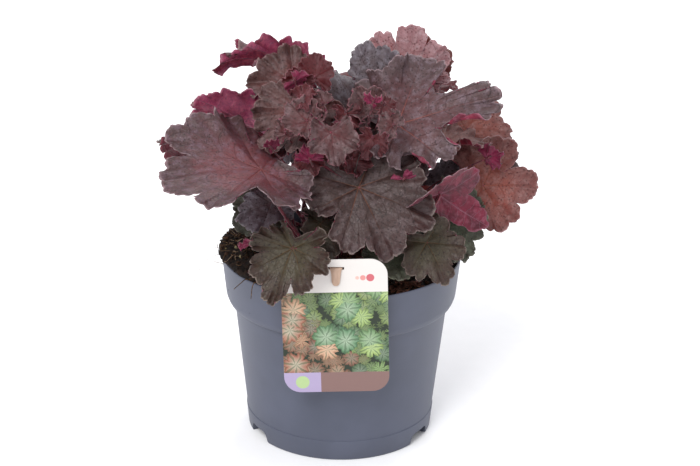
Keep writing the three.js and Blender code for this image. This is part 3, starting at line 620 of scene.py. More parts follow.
@dataclass
class LeafForm:
    """The shape of one packed leaf: its blade as rings of spokes, and the line of its stalk."""

    node: str
    rings: np.ndarray = field(init=False)
    shares: tuple[float, ...] = field(init=False)
    lobes: int = field(init=False)
    size: float = field(init=False)
    stalk: list[Vector] = field(init=False)
    girths: list[float] = field(init=False)

    SHARES = {2: (0.0, 0.52, 1.0), 3: (0.0, 0.34, 0.68, 1.0)}

    def __post_init__(self) -> None:
        """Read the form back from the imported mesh, ring by ring from the hub."""
        bm = merged_copy(self.node)
        hub = max(bm.verts, key=lambda v: len(v.link_edges))
        layers = self.layers_from(hub)
        spokes = len(layers[1])
        blade = 1
        while len(layers[blade]) == spokes:
            blade += 1
        count = (blade - 1) // 2
        level = {v: k for k, ring in enumerate(layers) for v in ring}
        order = self.first_ring(hub)
        rings = [order]
        for k in range(1, count):
            outward = {}
            for face in {f for v in layers[k] for f in v.link_faces}:
                corners = list(face.verts)
                inner = [i for i, v in enumerate(corners) if level[v] == k]
                outer = [i for i, v in enumerate(corners) if level[v] == k + 1]
                if len(inner) == 1 and len(outer) == 2:
                    outward[corners[inner[0]]] = corners[(inner[0] + 1) % 3]
            rings.append([outward[v] for v in rings[-1]])
        edge = [(v.co - hub.co).length for v in rings[-1]]
        notch = edge.index(min(edge))
        table = [[tuple(ring[(notch + i) % spokes].co) for i in range(spokes + 1)] for ring in rings]
        self.rings = np.array([[tuple(hub.co)] * (spokes + 1)] + table)
        self.shares = self.SHARES[count]
        self.lobes = spokes // SPOKES_A_LOBE
        self.size = float(np.linalg.norm(self.rings[-1, spokes // 2] - self.rings[0, 0]))
        stalk = layers[2 * count + 1 :]
        self.stalk = [sum((v.co for v in ring), Vector()) / len(ring) for ring in stalk]
        self.girths = [(next(iter(ring)).co - self.stalk[k]).length for k, ring in enumerate(stalk)]
        bm.free()

    @staticmethod
    def layers_from(hub: bmesh.types.BMVert) -> list[list[bmesh.types.BMVert]]:
        """Sort a mesh's points by how many edges away from the hub they are.

        Args:
            hub: the point to start from.

        Returns:
            The points in layers, the hub first.
        """
        seen = {hub}
        layers = [[hub]]
        while layers[-1]:
            ring = []
            for vert in layers[-1]:
                for edge in vert.link_edges:
                    other = edge.other_vert(vert)
                    if other not in seen:
                        seen.add(other)
                        ring.append(other)
            layers.append(ring)
        return layers[:-1]

    @staticmethod
    def first_ring(hub: bmesh.types.BMVert) -> list[bmesh.types.BMVert]:
        """Walk round the hub, leftwards as seen from above the blade.

        Args:
            hub: the blade's middle point.

        Returns:
            Its neighbours in order.
        """
        after = {}
        for face in hub.link_faces:
            corners = list(face.verts)
            i = corners.index(hub)
            after[corners[(i + 1) % 3]] = corners[(i + 2) % 3]
        ring = [next(iter(after))]
        while len(ring) < len(after):
            ring.append(after[ring[-1]])
        return ring


@dataclass(frozen=True)
class Trim:
    """How one blade departs from the common rule.

    Lobes count from 0 at the midrib, leftwards up and rightwards down. The length of a lobe, or of a
    place between two, is a share of the form's own. A cut lies near the half between two lobes and goes
    a share of the way in.
    """

    lobes: dict[float, float] = field(default_factory=dict)
    cuts: dict[float, float] = field(default_factory=dict)
    ruffle: float = 0.044
    pleat: float = 0.026
    cup: float = 0.0
    roundness: float = 2.5
    curl: float = 0.06
    fold: float = 0.0


@dataclass
class LeafBlade:
    """A finely cut and quilted blade laid over a packed leaf's form."""

    form: LeafForm
    seed: int
    trim: Trim
    columns_per_lobe: int
    rows: int
    # Small lobes and teeth: how far apart, how high, and from which share of the way out they rise.
    orders: tuple[tuple[float, float, float], ...] = ((15.0, 5.5, 0.35), (5.0, 1.7, 0.72))
    orders_for_mm: float = 55.0
    most_orders: float = 1.25
    cut: float = 0.62
    least_cut: float = 0.07
    cut_room: float = 0.15
    # The waves of the margin: how many a lobe, how fast they rise outwards, and how high they are.
    waves: tuple[tuple[float, float, float], ...] = (
        (0.9, 2.5, 0.8), (1.7, 3.5, 1.0), (3.4, 6.0, 0.8), (6.1, 9.0, 0.35)
    )  # fmt: skip
    most_ruffle_mm: float = 5.0
    # Swellings of the skin: how wide and how high.
    puff_mm: tuple[float, float] = (9.0, 1.0)
    crumple_mm: tuple[float, float] = (4.0, 0.8)
    swell_mm: tuple[float, float] = (22.0, 1.8)
    groove_mm: tuple[float, float] = (1.5, 0.5)
    relief_for_mm: float = 50.0
    # The sunk veins follow the pattern of the skins' colours.
    veins: VeinPattern = VeinPattern()
    thickness_mm: float = 0.42
    fringe_gap_mm: float = 2.4
    points: np.ndarray = field(init=False)
    normals: np.ndarray = field(init=False)
    spread: np.ndarray = field(init=False)
    margin: np.ndarray = field(init=False)
    envelope: np.ndarray = field(init=False)
    room: np.ndarray = field(init=False)

    FINE = 60
    ALONG = 0.7
    LOBE_ANGLE = {5: 1.0, 7: 0.75}

    def spoke_lines(self, spots: np.ndarray) -> np.ndarray:
        """Read the eased form's spokes at fractional places.

        Args:
            spots: the places, in spokes.

        Returns:
            One line of ring points for each place.
        """
        table = self.eased_form()
        spokes = len(table) - 1
        lines = spline_rows(table[1:-1], np.clip(spots - 1, 0, spokes - 2))
        for end, near in ((0, spots < 1), (spokes, spots > spokes - 1)):
            t = np.abs(spots[near] - end)[:, None, None]
            lines[near] = table[end] * (1 - t) + table[-2 if end else 1] * t
        return lines

    def spots(self) -> np.ndarray:
        """Place the columns evenly along the margin, so that they crowd in the cuts between the lobes.

        Returns:
            The columns' places, in spokes.
        """
        spokes = self.form.rings.shape[1] - 1
        fine = np.linspace(0, spokes, self.FINE * spokes + 1)
        lines = self.spoke_lines(fine)
        straight = lines[:, -1] - lines[:, 0]
        rim = straight * self.outline(fine, np.linalg.norm(straight, axis=1))[:, None]
        walked = np.append(0, np.cumsum(np.linalg.norm(np.diff(rim, axis=0), axis=1)))
        walked = self.ALONG * walked / walked[-1] + (1 - self.ALONG) * fine / spokes
        return np.interp(np.linspace(0, 1, self.columns_per_lobe * self.form.lobes + 1), walked, fine)

    def outline(self, spots: np.ndarray, reach: np.ndarray) -> np.ndarray:
        """Say how far out each column goes, with deep cuts between rounded lobes.

        It also keeps the lobes' envelope, and the room that a cut leaves for small lobes.

        Args:
            spots: the columns' places, in spokes.
            reach: the form's own length at each column.

        Returns:
            The share of the form's length that each column has.
        """
        spokes = self.form.rings.shape[1] - 1
        last = (self.form.lobes - 1) / 2
        # A cut that the trim places beside its half pulls the lobes with it.
        rest = np.arange(-last - 2, last + 2.1, 0.5)
        moved = rest.copy()
        for place in self.trim.cuts:
            moved[rest == math.floor(place) + 0.5] = place
        around = np.interp((spots - spokes / 2) / SPOKES_A_LOBE, moved, rest)
        off = np.abs(around - np.clip(np.round(around), -last, last))
        inside = np.abs(around) <= last
        draw = np.random.default_rng(self.seed)
        numbers = range(-int(last), int(last) + 1)
        tips = spokes // 2 + SPOKES_A_LOBE * np.array(numbers)
        marks = np.array(sorted({*numbers, *self.trim.lobes}))
        marked = spokes / 2 + SPOKES_A_LOBE * marks
        heights = np.interp(marked, tips, np.interp(tips, spots, reach))
        heights *= [self.trim.lobes.get(mark, 1.0) for mark in marks]
        self.envelope = np.interp(spots, marked, heights)
        self.room = np.where(inside, np.clip((0.5 - off) / self.cut_room, 0.05, 1), 1)
        far = np.linalg.norm(self.form.rings[-1] - self.form.rings[0], axis=1)
        own = 1 - 2 * far[tips[:-1] + 2] / (far[tips[:-1] + 1] + far[tips[1:] - 1])
        depths = np.append(own * draw.uniform(0.45, 1.0, self.form.lobes - 1) * self.cut, 0)
        between = np.clip(np.floor(around + last).astype(int), 0, self.form.lobes - 1)
        for place, depth in self.trim.cuts.items():
            depths[int(place + last)] = depth
        arch = (1 - np.clip(2 * off, 0, 1) ** self.trim.roundness) ** (1 / self.trim.roundness)
        share = 1 - (depths[between] + self.least_cut) * (1 - arch)
        for pace, height in ((5.3, 0.02), (9.1, 0.015)):
            share += height * np.sin(around * pace + draw.uniform(0, 6))
        share = share * self.envelope / reach
        # Beside the stalk's notch the blade goes over to the form's own edge.
        keep = np.clip(off / 0.4, 0, 1) * ~inside
        return np.where(inside, share, np.minimum(share, 1.2)) * (1 - keep) + keep

    def lay_out(self) -> None:
        """Work out the blade's points, the way they face and what the skins' patterns follow."""
        form = self.form
        spokes = form.rings.shape[1] - 1
        spots = self.spots()
        lines = self.spoke_lines(spots)
        reach = np.linalg.norm(lines[:, -1] - lines[:, 0], axis=1)
        share = self.outline(spots, reach)
        # The rows crowd towards the margin; q is each row's share of the way there, s each point's on the form.
        q = np.linspace(0, 1, self.rows + 1)[:, None]
        q = q + 0.09 * np.sin(math.pi * q)
        s = q + (share - 1)[None, :] * ease((q - 0.5) / 0.5)
        points = np.zeros(s.shape + (3,))
        slope = np.zeros((1, len(spots), 3))
        held = np.minimum(s, 1.0)
        # One smooth curve runs out through the form's rings, and goes on past its edge at a slope.
        for i, at in enumerate(form.shares):
            others = [other for j, other in enumerate(form.shares) if j != i]
            scale = np.prod([at - other for other in others])
            weight = np.prod([held - other for other in others], axis=0) / scale
            tilt = sum(np.prod([1 - other for other in others if other != skip]) for skip in others) / scale
            points += weight[..., None] * lines[None, :, i]
            slope += tilt * lines[None, :, i]
        # Past the form's own edge, as across a notch, the blade mostly keeps to the straight way out.
        straight = lines[:, -1] - lines[:, 0]
        slope *= reach[None, :, None] / np.linalg.norm(slope, axis=-1, keepdims=True)
        slope = 0.4 * slope + 0.6 * straight
        points += (s - held)[..., None] * slope
        around = (spots - spokes / 2) / SPOKES_A_LOBE
        self.normals = self.facing(points)
        points += self.scallops(points, q)
        points += self.normals * self.relief(points, s, around, reach)[..., None]
        self.normals = self.facing(points)
        self.points = points
        own = random.Random(self.seed).random()
        self.spread = np.stack([np.broadcast_to(around, s.shape), s], axis=-1)
        self.margin = np.stack([np.broadcast_to(q, s.shape), np.full(s.shape, own)], axis=-1)

    def scallops(self, points: np.ndarray, q: np.ndarray) -> np.ndarray:
        """Round the margin into small lobes and these into teeth, all square to it.

        Args:
            points: the smooth blade's points.
            q: each row's share of the way from the hub to the margin.

        Returns:
            How far each point moves.
        """
        rim = points[-1]
        out = np.cross(np.gradient(rim, axis=0), self.normals[-1])
        out /= np.maximum(np.linalg.norm(out, axis=1, keepdims=True), 1e-12)
        walked = np.append(0, np.cumsum(np.linalg.norm(np.diff(rim, axis=0), axis=1)))
        # The teeth fade out towards the stalk's notch.
        room = np.clip(np.minimum(walked, walked[-1] - walked) / (0.25 * self.form.size) - 0.3, 0, 1)
        # Deep in a cut there is room for small ones only.
        room *= self.room
        draw = np.random.default_rng(self.seed + 31)
        moves = np.zeros_like(points)
        scale = min(self.most_orders * MM, self.form.size / self.orders_for_mm)
        for gap, height, start in self.orders:
            ends = np.cumsum(draw.uniform(0.6, 1.4, 900)) * gap * scale
            number = np.searchsorted(ends, walked)
            widths = np.diff(ends, prepend=0)
            across = 2 * (ends[number] - walked) / widths[number] - 1
            tooth = np.sqrt(np.clip(1 - across**2, 0, 1)) - 0.7
            tooth *= draw.uniform(0.5, 1.2, 900)[number] * height * scale * room
            moves += ease((q - start) / (1 - start))[..., None] * (out * tooth[:, None])[None]
        return moves

    def eased_form(self) -> np.ndarray:
        """Soften the form's corrugation from spoke to spoke, and keep how far out each point is.

        Returns:
            The form's points, spoke by spoke.
        """
        table = self.form.rings.transpose(1, 0, 2)
        inner, hub = table[1:-1], table[1:-1, :1]
        mean = (table[:-2] + 2 * inner + table[2:]) / 4 - hub
        far = np.linalg.norm(inner - hub, axis=-1, keepdims=True)
        near = np.maximum(np.linalg.norm(mean, axis=-1, keepdims=True), 1e-9)
        return np.concatenate([table[:1], hub + mean * far / near, table[-1:]])

    @staticmethod
    def facing(points: np.ndarray) -> np.ndarray:
        """Find which way the upper side faces at each point.

        Args:
            points: the blade's points, row by row.

        Returns:
            One unit vector for each point.
        """
        out = np.gradient(points, axis=0)
        leftwards = np.gradient(points, axis=1)
        normal = np.cross(out, leftwards)
        normal[0] = normal[1].mean(axis=0)
        normal[:, 0] = normal[:, -1] = (normal[:, 0] + normal[:, -1]) / 2
        return normal / np.maximum(np.linalg.norm(normal, axis=-1, keepdims=True), 1e-12)

    def relief(self, points: np.ndarray, s: np.ndarray, around: np.ndarray, reach: np.ndarray) -> np.ndarray:
        """Sink the veins, puff the skin between them and wave the edge.

        Args:
            points: the smooth blade's points.
            s: each point's share of the way out.
            around: each column's place in lobes.
            reach: each column's length.

        Returns:
            How far each point moves along the way that it faces.
        """
        form, trim = self.form, self.trim
        draw = np.random.default_rng(self.seed + 77)
        last = (form.lobes - 1) / 2
        centre = np.clip(np.round(around), -last, last)
        angle = np.abs(around - centre) * self.LOBE_ANGLE[form.lobes]
        scale = min(MM, form.size / self.relief_for_mm)
        width, depth = (size * scale for size in self.groove_mm)
        groove = np.exp(-((s * reach * np.sin(angle) / width) ** 2)) * (1 - 0.55 * s)
        along = s * (np.cos(angle) - self.veins.side_slant * np.sin(angle))
        steps = along * self.veins.side_count + 0.2
        near = np.abs(steps - np.round(steps))
        side = np.exp(-((near / 0.13) ** 2)) * np.clip((s - 0.12) / 0.15, 0, 1)
        relief = -depth * groove - 0.5 * depth * side
        # Outside the last lobe, beside the stalk's notch, all that bends the blade fades out.
        gate = np.where(np.abs(around) > last, np.clip((last + 0.5 - np.abs(around)) / 0.3, 0, 1), 1)
        far = np.clip(s * reach / self.envelope, 0, 1.1)
        flat = [Vector(point) for point in points.reshape(-1, 3)]
        shift = Vector((self.seed * 0.37, self.seed * 0.11, 0.0))
        for (size, height), way, share in (
            (self.puff_mm, shift, 1), (self.crumple_mm, shift, far**3.5), (self.swell_mm, -shift, far)
        ):  # fmt: skip
            bumps = np.array([noise.noise(point / (size * MM) + way) for point in flat]).reshape(s.shape)
            relief += height * scale * bumps * share
        wave = np.zeros_like(s)
        for pace, power, height in self.waves:
            wave += height * far**power * np.sin(around * TURN * pace + draw.uniform(0, 6))
        relief += min(trim.ruffle * form.size, self.most_ruffle_mm * MM) * wave * gate
        relief += trim.cup * form.size * far**2.5 * gate
        fold = (1 - np.cos(TURN * np.abs(around - centre))) / 2
        relief += trim.pleat * form.size * s * (1 - 0.75 * s) * fold * gate
        # Each lobe nods or lifts by its own amount, and the whole blade may fold along its midrib.
        nods = draw.uniform(-1.0, 0.6, form.lobes) * trim.curl * form.size
        relief += np.interp(around, np.arange(form.lobes) - last, nods) * far**3 * gate
        relief += trim.fold * s * reach * np.abs(np.sin(np.clip(around * 0.75, -1.6, 1.6))) * gate
        return relief * np.clip(min(2 * form.lobes, 12.5) * s, 0, 1)

    def add_to(self, bm: bmesh.types.BMesh) -> None:
        """Lay the blade as a grid, weld its seam and hub, and thicken it downwards.

        Args:
            bm: the leaf's bmesh.
        """
        self.lay_out()
        rows, columns = self.points.shape[:2]
        sheet = bmesh.new()
        bmesh.ops.create_grid(sheet, x_segments=columns - 1, y_segments=rows - 1, size=1.0)
        mesh = bpy.data.meshes.new("blade")
        sheet.to_mesh(mesh)
        sheet.free()
        flip = slice(None, None, -1)
        mesh.vertices.foreach_set("co", self.points[:, flip].astype(np.float32).ravel())
        corner = np.zeros(len(mesh.loops), np.int32)
        mesh.loops.foreach_get("vertex_index", corner)
        for name, values in (("Spread", self.spread), ("Margin", self.margin)):
            layer = mesh.uv_layers.new(name=name)
            table = values[:, flip].reshape(-1, 2).astype(np.float32)
            layer.data.foreach_set("uv", table[corner].ravel())
        sheet = bmesh.new()
        sheet.from_mesh(mesh)
        bmesh.ops.remove_doubles(sheet, verts=sheet.verts, dist=1e-6)
        sheet.to_mesh(mesh)
        sheet.free()
        holder = bpy.data.objects.new("blade", mesh)
        bpy.context.scene.collection.objects.link(holder)
        wall = holder.modifiers.new("thickness", "SOLIDIFY")
        wall.thickness = self.thickness_mm * MM
        wall.offset = -1.0
        wall.use_even_offset = False
        wall.material_offset = LeafSlot.LOWER
        for _ in (LeafSlot.UPPER, LeafSlot.LOWER):
            mesh.materials.append(None)
        apply_modifiers(holder)
        bm.from_mesh(holder.data)
        discard(holder)

    def add_fringe(self, bm: bmesh.types.BMesh) -> None:
        """Set short pale hairs along the margin.

        Args:
            bm: the leaf's bmesh.
        """
        draw = random.Random(self.seed * 5 + 2)
        rim, inner, facing = self.points[-1], self.points[-2], self.normals[-1]
        gaps = np.linalg.norm(np.diff(rim, axis=0), axis=1)
        count = int(gaps.sum() / (self.fringe_gap_mm * MM))
        tuft = bmesh.new()
        for _ in range(count):
            k = draw.randrange(2, len(rim) - 2)
            out = Vector(rim[k] - inner[k]).normalized()
            lean = out + Vector(facing[k]) * draw.uniform(-0.5, 0.7)
            lean += out.orthogonal() * draw.uniform(-0.3, 0.3)
            add_hair(tuft, Vector(rim[k]) - out * 0.2 * MM, lean.normalized(), draw.uniform(0.6, 1.2) * MM)
        join_meshes(bm, tuft)


def add_hair(tuft: bmesh.types.BMesh, foot: Vector, lean: Vector, length: float) -> None:
    """Stand one fine tapering hair.

    Args:
        tuft: the bmesh that the hair joins.
        foot: where it starts.
        lean: the way that it points.
        length: its length.
    """
    turn = lean.to_track_quat("Z", "Y").to_matrix().to_4x4()
    place = Matrix.Translation(foot + lean * length / 2) @ turn
    made = bmesh.ops.create_cone(
        tuft, cap_ends=True, segments=3, radius1=0.08 * MM, radius2=0.02 * MM, depth=length, matrix=place
    )["verts"]
    set_slot(made, LeafSlot.HAIR)


@dataclass
class LeafStalk:
    """A slim stalk from the blade down into the crown, with short hairs."""

    form: LeafForm
    seed: int
    hairs: int = 70
    hair_mm: float = 1.5
    sides: int = 8
    steps: int = 26
    top_girth_mm: float = 1.0
    under_hub_mm: float = 0.25
    wobble_mm: float = 7.0

    def add_to(self, bm: bmesh.types.BMesh) -> None:
        """Sweep the stalk and set its hairs.

        Args:
            bm: the leaf's bmesh.
        """
        form = self.form
        hub = Vector(form.rings[0, 0])
        top = hub + (form.stalk[0] - hub).normalized() * self.under_hub_mm * MM
        path = flowing_path([top, *form.stalk], self.steps)
        joints = len(form.stalk)
        known = [self.top_girth_mm * MM, *form.girths]
        girths = np.interp(np.linspace(0, joints, self.steps + 1), range(joints + 1), known)
        wobble = [0.86 + 0.1 * noise.noise(p / (self.wobble_mm * MM)) for p in path]
        radii = [g * w for g, w in zip(girths, wobble)]
        add_tube(bm, path, radii, self.sides, LeafSlot.STALK)
        self.add_hairs(bm, path, radii)

    def add_hairs(self, bm: bmesh.types.BMesh, path: Sequence[Vector], radii: Sequence[float]) -> None:
        """Stand fine tapering hairs on the stalk.

        Args:
            bm: the leaf's bmesh.
            path: the stalk's middle line.
            radii: its radius at each point.
        """
        draw = random.Random(self.seed * 3 + 1)
        tuft = bmesh.new()
        for _ in range(self.hairs):
            k = draw.randrange(1, len(path) - 3)
            way = (path[k + 1] - path[k]).normalized()
            side = way.orthogonal().normalized()
            side.rotate(Matrix.Rotation(draw.uniform(0, TURN), 3, way))
            lean = (side + way * draw.uniform(-0.25, 0.35)).normalized()
            length = self.hair_mm * MM * draw.uniform(0.5, 1.0)
            foot = path[k].lerp(path[k + 1], draw.random()) + side * radii[k] * 0.9
            add_hair(tuft, foot, lean, length)
        join_meshes(bm, tuft)


def leaf_materials(kind: Leaf, skins: dict[str, bpy.types.Material]) -> list[bpy.types.Material]:
    """List a leaf's materials in the order of its slots.

    Args:
        kind: the leaf's kind.
        skins: the finished leaf materials by name.

    Returns:
        Upper side, lower side, stalk and hair.
    """
    under = UNDERSIDES.get(kind, UNDERSIDES[Leaf.PLUM])
    return [skins[skin.name] for skin in (UPPER_SKINS[kind], under, STALK, HAIR)]


@dataclass
class HeucheraLeaf:
    """One whole leaf: blade, stalk and hairs in one piece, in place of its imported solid."""

    name: str
    kind: Leaf
    number: int
    trim: Trim

    # The bigger a leaf, the finer its mesh: size in millimetres, columns a lobe, rows.
    DETAIL_MM = ((62, 66, 19), (42, 50, 15), (0, 34, 12))

    def build(self, skins: dict[str, bpy.types.Material]) -> bpy.types.Object:
        """Make the leaf's piece.

        Args:
            skins: the finished leaf materials by name.

        Returns:
            The new piece, riding on the object.
        """
        node = f"leaf_{self.name}"
        form = LeafForm(node)
        _, columns, rows = next(level for level in self.DETAIL_MM if form.size > level[0] * MM)
        bm = bmesh.new()
        blade = LeafBlade(form, self.number, self.trim, columns, rows)
        blade.add_to(bm)
        blade.add_fringe(bm)
        LeafStalk(form, self.number).add_to(bm)
        piece = to_object(bm, f"{self.name}_leaf", leaf_materials(self.kind, skins))
        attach(piece, ROOT)
        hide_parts(node)
        return piece


@dataclass(frozen=True)
class Sprout:
    """One half-open young leaf: where its hub stands, which way it faces and how it is turned."""

    hub_mm: tuple[float, float, float]
    facing: tuple[float, float, float]
    roll: float
    size_mm: float
    kind: Leaf = Leaf.YOUNG


@dataclass
class Heart:
    """The crumpled young leaves that crowd in the heart of the plant, on stalks of their own."""

    sprouts: tuple[Sprout, ...]
    form_node: str = "leaf_young_left"
    foot_mm: tuple[float, float, float] = (-1.0, -9.0, 147.0)
    bow_mm: float = 18.0
    girths_mm: tuple[float, ...] = (0.7, 0.8, 0.9, 1.1)
    trim: Trim = Trim(ruffle=0.15, pleat=0.16, cup=0.3, curl=0.35, fold=-0.35)
    columns_per_lobe: int = 26
    rows: int = 9
    hairs: int = 30
    first_seed: int = 300

    def build(self, skins: dict[str, bpy.types.Material]) -> list[bpy.types.Object]:
        """Make one piece of the young leaves and one of the wine-red ones.

        Args:
            skins: the finished leaf materials by name.

        Returns:
            The new pieces.
        """
        pieces = []
        for kind in (Leaf.YOUNG, Leaf.WINE):
            bm = bmesh.new()
            for seed, sprout in enumerate(self.sprouts, self.first_seed):
                if sprout.kind is kind:
                    form = self.moved(LeafForm(self.form_node), sprout)
                    blade = LeafBlade(form, seed, self.trim, self.columns_per_lobe, self.rows)
                    blade.add_to(bm)
                    blade.add_fringe(bm)
                    LeafStalk(form, seed, self.hairs).add_to(bm)
            piece = to_object(bm, f"heart_leaves_{kind.value}", leaf_materials(kind, skins))
            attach(piece, ROOT)
            pieces.append(piece)
        return pieces

    def moved(self, form: LeafForm, sprout: Sprout) -> LeafForm:
        """Carry a leaf's form to a sprout's place and give it a stalk down to the crown.

        Args:
            form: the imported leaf's form, which is changed.
            sprout: where it goes.

        Returns:
            The changed form.
        """
        hub = form.rings[0, 0].copy()
        middle = form.rings.shape[1] // 2
        tip, side = form.rings[-1, middle], form.rings[-1, middle + SPOKES_A_LOBE]
        up = Vector(np.cross(tip - hub, side - hub)).normalized()
        facing = Vector(sprout.facing).normalized()
        turn = Matrix.Rotation(sprout.roll, 3, facing) @ up.rotation_difference(facing).to_matrix()
        scale = sprout.size_mm * MM / form.size
        place = np.array(sprout.hub_mm) * MM
        form.rings = place + (form.rings - hub) @ np.array(turn).T * scale
        form.size = sprout.size_mm * MM
        start, foot = Vector(place), Vector(self.foot_mm) * MM
        bow = start.lerp(foot, 0.35) + Vector((0, self.bow_mm * MM, 0))
        form.stalk = [start - facing * 1.5 * MM, bow, start.lerp(foot, 0.75), foot]
        form.girths = [girth * MM for girth in self.girths_mm]
        return form


KINDS = {
    Leaf.PLUM: ("big_left", "magenta_right"),
    Leaf.DUSK: ("mid_right", "big_right"),
    Leaf.RUSSET: ("mid_left", "upper_left"),
    Leaf.MAGENTA: ("top_left", "left_far"),
    Leaf.SLATE: ("front_centre", "inner_dark", "right_shade"),
    Leaf.OLIVE: ("rim_left", "low_right_brown", "small_dark"),
    Leaf.GREEN: ("low_right_green", "green_low", "soil_right"),
    Leaf.ROSE: ("salmon_right", "right_orange", "top_right_rear"),
    Leaf.BLUSH: ("top_right",),
    Leaf.WINE: ("top_red", "inner_red", "tier_2_2", "tier_3_1", "tier_3_3", "tier_4_1"),
    Leaf.YOUNG: ("young_left", "young_right", "trefoil"),
    Leaf.SILVER: ("rolled_grey", "top_grey", "grey_low", "grey_small", "rolled_right"),
}
ALL_CUTS = (-2.5, -1.5, -0.5, 0.5, 1.5, 2.5)
TRIMS = {
    "big_right": Trim({-2: 0.8, -1: 0.76}, {-0.5: 0.66, 0.5: 0.5}, ruffle=0.034, curl=0.04),
    "big_left": Trim(
        {-1: 1.05, 0: 1.03, 0.5: 1.25, 1: 1.16, 2: 1.22},
        {-0.5: 0.32, 0.72: 0.26, 1.5: 0.46},
        ruffle=0.026,
        roundness=2.3,
        curl=0.03,
    ),
    "grey_low": Trim({-2: 0.6, -1: 0.66, 0: 0.9}),
    "front_centre": Trim({-2: 0.74, -1: 0.92}, {-1.5: 0.62, -0.5: 0.25}, pleat=0.03, roundness=2.2),
    "rim_left": Trim(
        {0: 1.04, -1: 0.92, 1: 0.95, 2: 1.04, -3: 0.8},
        dict(zip(ALL_CUTS, (0.3, 0.4, 0.08, 0.42, 0.1, 0.3))),
        pleat=0.012,
        ruffle=0.05,
    ),
    "low_right_brown": Trim({}, {-0.5: 0.3, 0.5: 0.36, 1.5: 0.3}, pleat=0.015, ruffle=0.05, curl=0.1),
    "salmon_right": Trim({}, {0.5: 0.45, -0.5: 0.3}, pleat=0.02, roundness=3.0),
    "magenta_right": Trim(
        {-2: 1.4, -1: 1.06, 0: 0.88, 1: 1.28, 2: 0.7},
        {-1.5: 0.4, -0.5: 0.42, 0.5: 0.4, 1.5: 0.4},
        ruffle=0.02,
        roundness=1.4,
        fold=-0.42,
    ),
    "left_far": Trim({0: 0.95, 1: 1.3}, dict.fromkeys(ALL_CUTS, 0.1), roundness=3.5),
    "top_left": Trim({}, dict.fromkeys(ALL_CUTS, 0.12), roundness=3.5),
    "small_dark": Trim({-2: 0.6, 2: 0.6}),
    "top_grey": Trim({0: 0.95, 1: 0.52, 2: 0.4}),
    "rolled_grey": Trim({0: 0.85, 1: 0.7}, ruffle=0.05),
    "upper_left": Trim(ruffle=0.075, curl=0.1),
    "mid_left": Trim({}, {-0.5: 0.3, 0.5: 0.26}, ruffle=0.06, curl=0.1),
    "mid_right": Trim(ruffle=0.07, curl=0.1),
    "top_right": Trim({-3: 0.5, -2: 0.7, -1: 0.92}, {-0.5: 0.3, 0.5: 0.34}, ruffle=0.06, curl=0.1),
    "top_right_rear": Trim({-2: 0.6, -1: 0.6, 0: 0.9}),
}
SPROUTS = (
    Sprout((-15, -70, 292), (-0.2, -0.8, 0.6), 0.5, 13),
    Sprout((2, -62, 283), (0.3, -0.9, 0.3), 2.4, 14, Leaf.WINE),
    Sprout((-31, -66, 296), (-0.5, -0.6, 0.6), 4.0, 12, Leaf.WINE),
    Sprout((-2, -56, 262), (0.1, -1.0, 0.1), 1.2, 17, Leaf.WINE),
    Sprout((11, -55, 278), (-0.3, -0.8, 0.5), 5.2, 13),
    Sprout((30, -68, 292), (0.2, -0.7, 0.7), 3.1, 10, Leaf.WINE),
    Sprout((37, -76, 279), (0.4, -0.7, 0.6), 0.2, 13),
    Sprout((22, -62, 264), (0.2, -1.0, 0.2), 2.0, 16, Leaf.WINE),
    Sprout((-20, -66, 262), (-0.3, -0.9, 0.3), 4.6, 16, Leaf.WINE),
    Sprout((7, -58, 246), (0.1, -1.0, 0.2), 3.6, 15, Leaf.WINE),
    Sprout((-33, -42, 303), (-0.1, -0.9, 0.4), 1.8, 14, Leaf.WINE),
    Sprout((-42, -68, 268), (-0.5, -0.8, 0.3), 5.6, 12),
    Sprout((-26, -62, 247), (-0.2, -0.9, 0.4), 2.8, 14, Leaf.WINE),
    Sprout((22, -74, 296), (0.3, 0.8, 0.5), 0.8, 9),
    Sprout((-24, -76, 252), (-0.2, 0.9, 0.4), 2.2, 12),
    Sprout((-53, -78, 262), (-0.4, 0.7, 0.5), 3.9, 8),
    Sprout((-36, -50, 304), (-0.3, 0.8, 0.5), 5.0, 11),
    Sprout((-68, -84, 188), (-0.5, 0.7, 0.4), 1.9, 10),
    Sprout((46, -66, 234), (0.3, 0.9, 0.4), 4.4, 11),
    Sprout((112, -10, 232), (0.4, 0.8, 0.3), 2.7, 13),
)


@dataclass
class Foliage:
    """All the leaves, each with the colour of its age and place."""

    young_trim: Trim = Trim(ruffle=0.09, pleat=0.1, cup=0.12)
    common: tuple[Leaf, ...] = (Leaf.PLUM, Leaf.PLUM, Leaf.SLATE, Leaf.ROSE, Leaf.SILVER)
    seed: int = 8

    def build(self) -> list[bpy.types.Object]:
        """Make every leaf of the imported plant.

        Returns:
            The pieces, all riding on the object.
        """
        finishes = (*UPPER_SKINS.values(), *UNDERSIDES.values(), STALK, HAIR)
        skins = {finish.name: finish.make() for finish in finishes}
        known = {name: kind for kind, names in KINDS.items() for name in names}
        draw = random.Random(self.seed)
        pieces = []
        nodes = sorted(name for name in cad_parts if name.startswith("leaf_"))
        for number, node in enumerate(nodes, 1):
            name = node.removeprefix("leaf_")
            common = draw.choice(self.common)
            kind = known.get(name, common)
            trim = TRIMS.get(name, self.young_trim if kind is Leaf.YOUNG else Trim())
            pieces.append(HeucheraLeaf(name, kind, number, trim).build(skins))
        return pieces + Heart(SPROUTS).build(skins)


# ---------------------------------------------------------------- pot


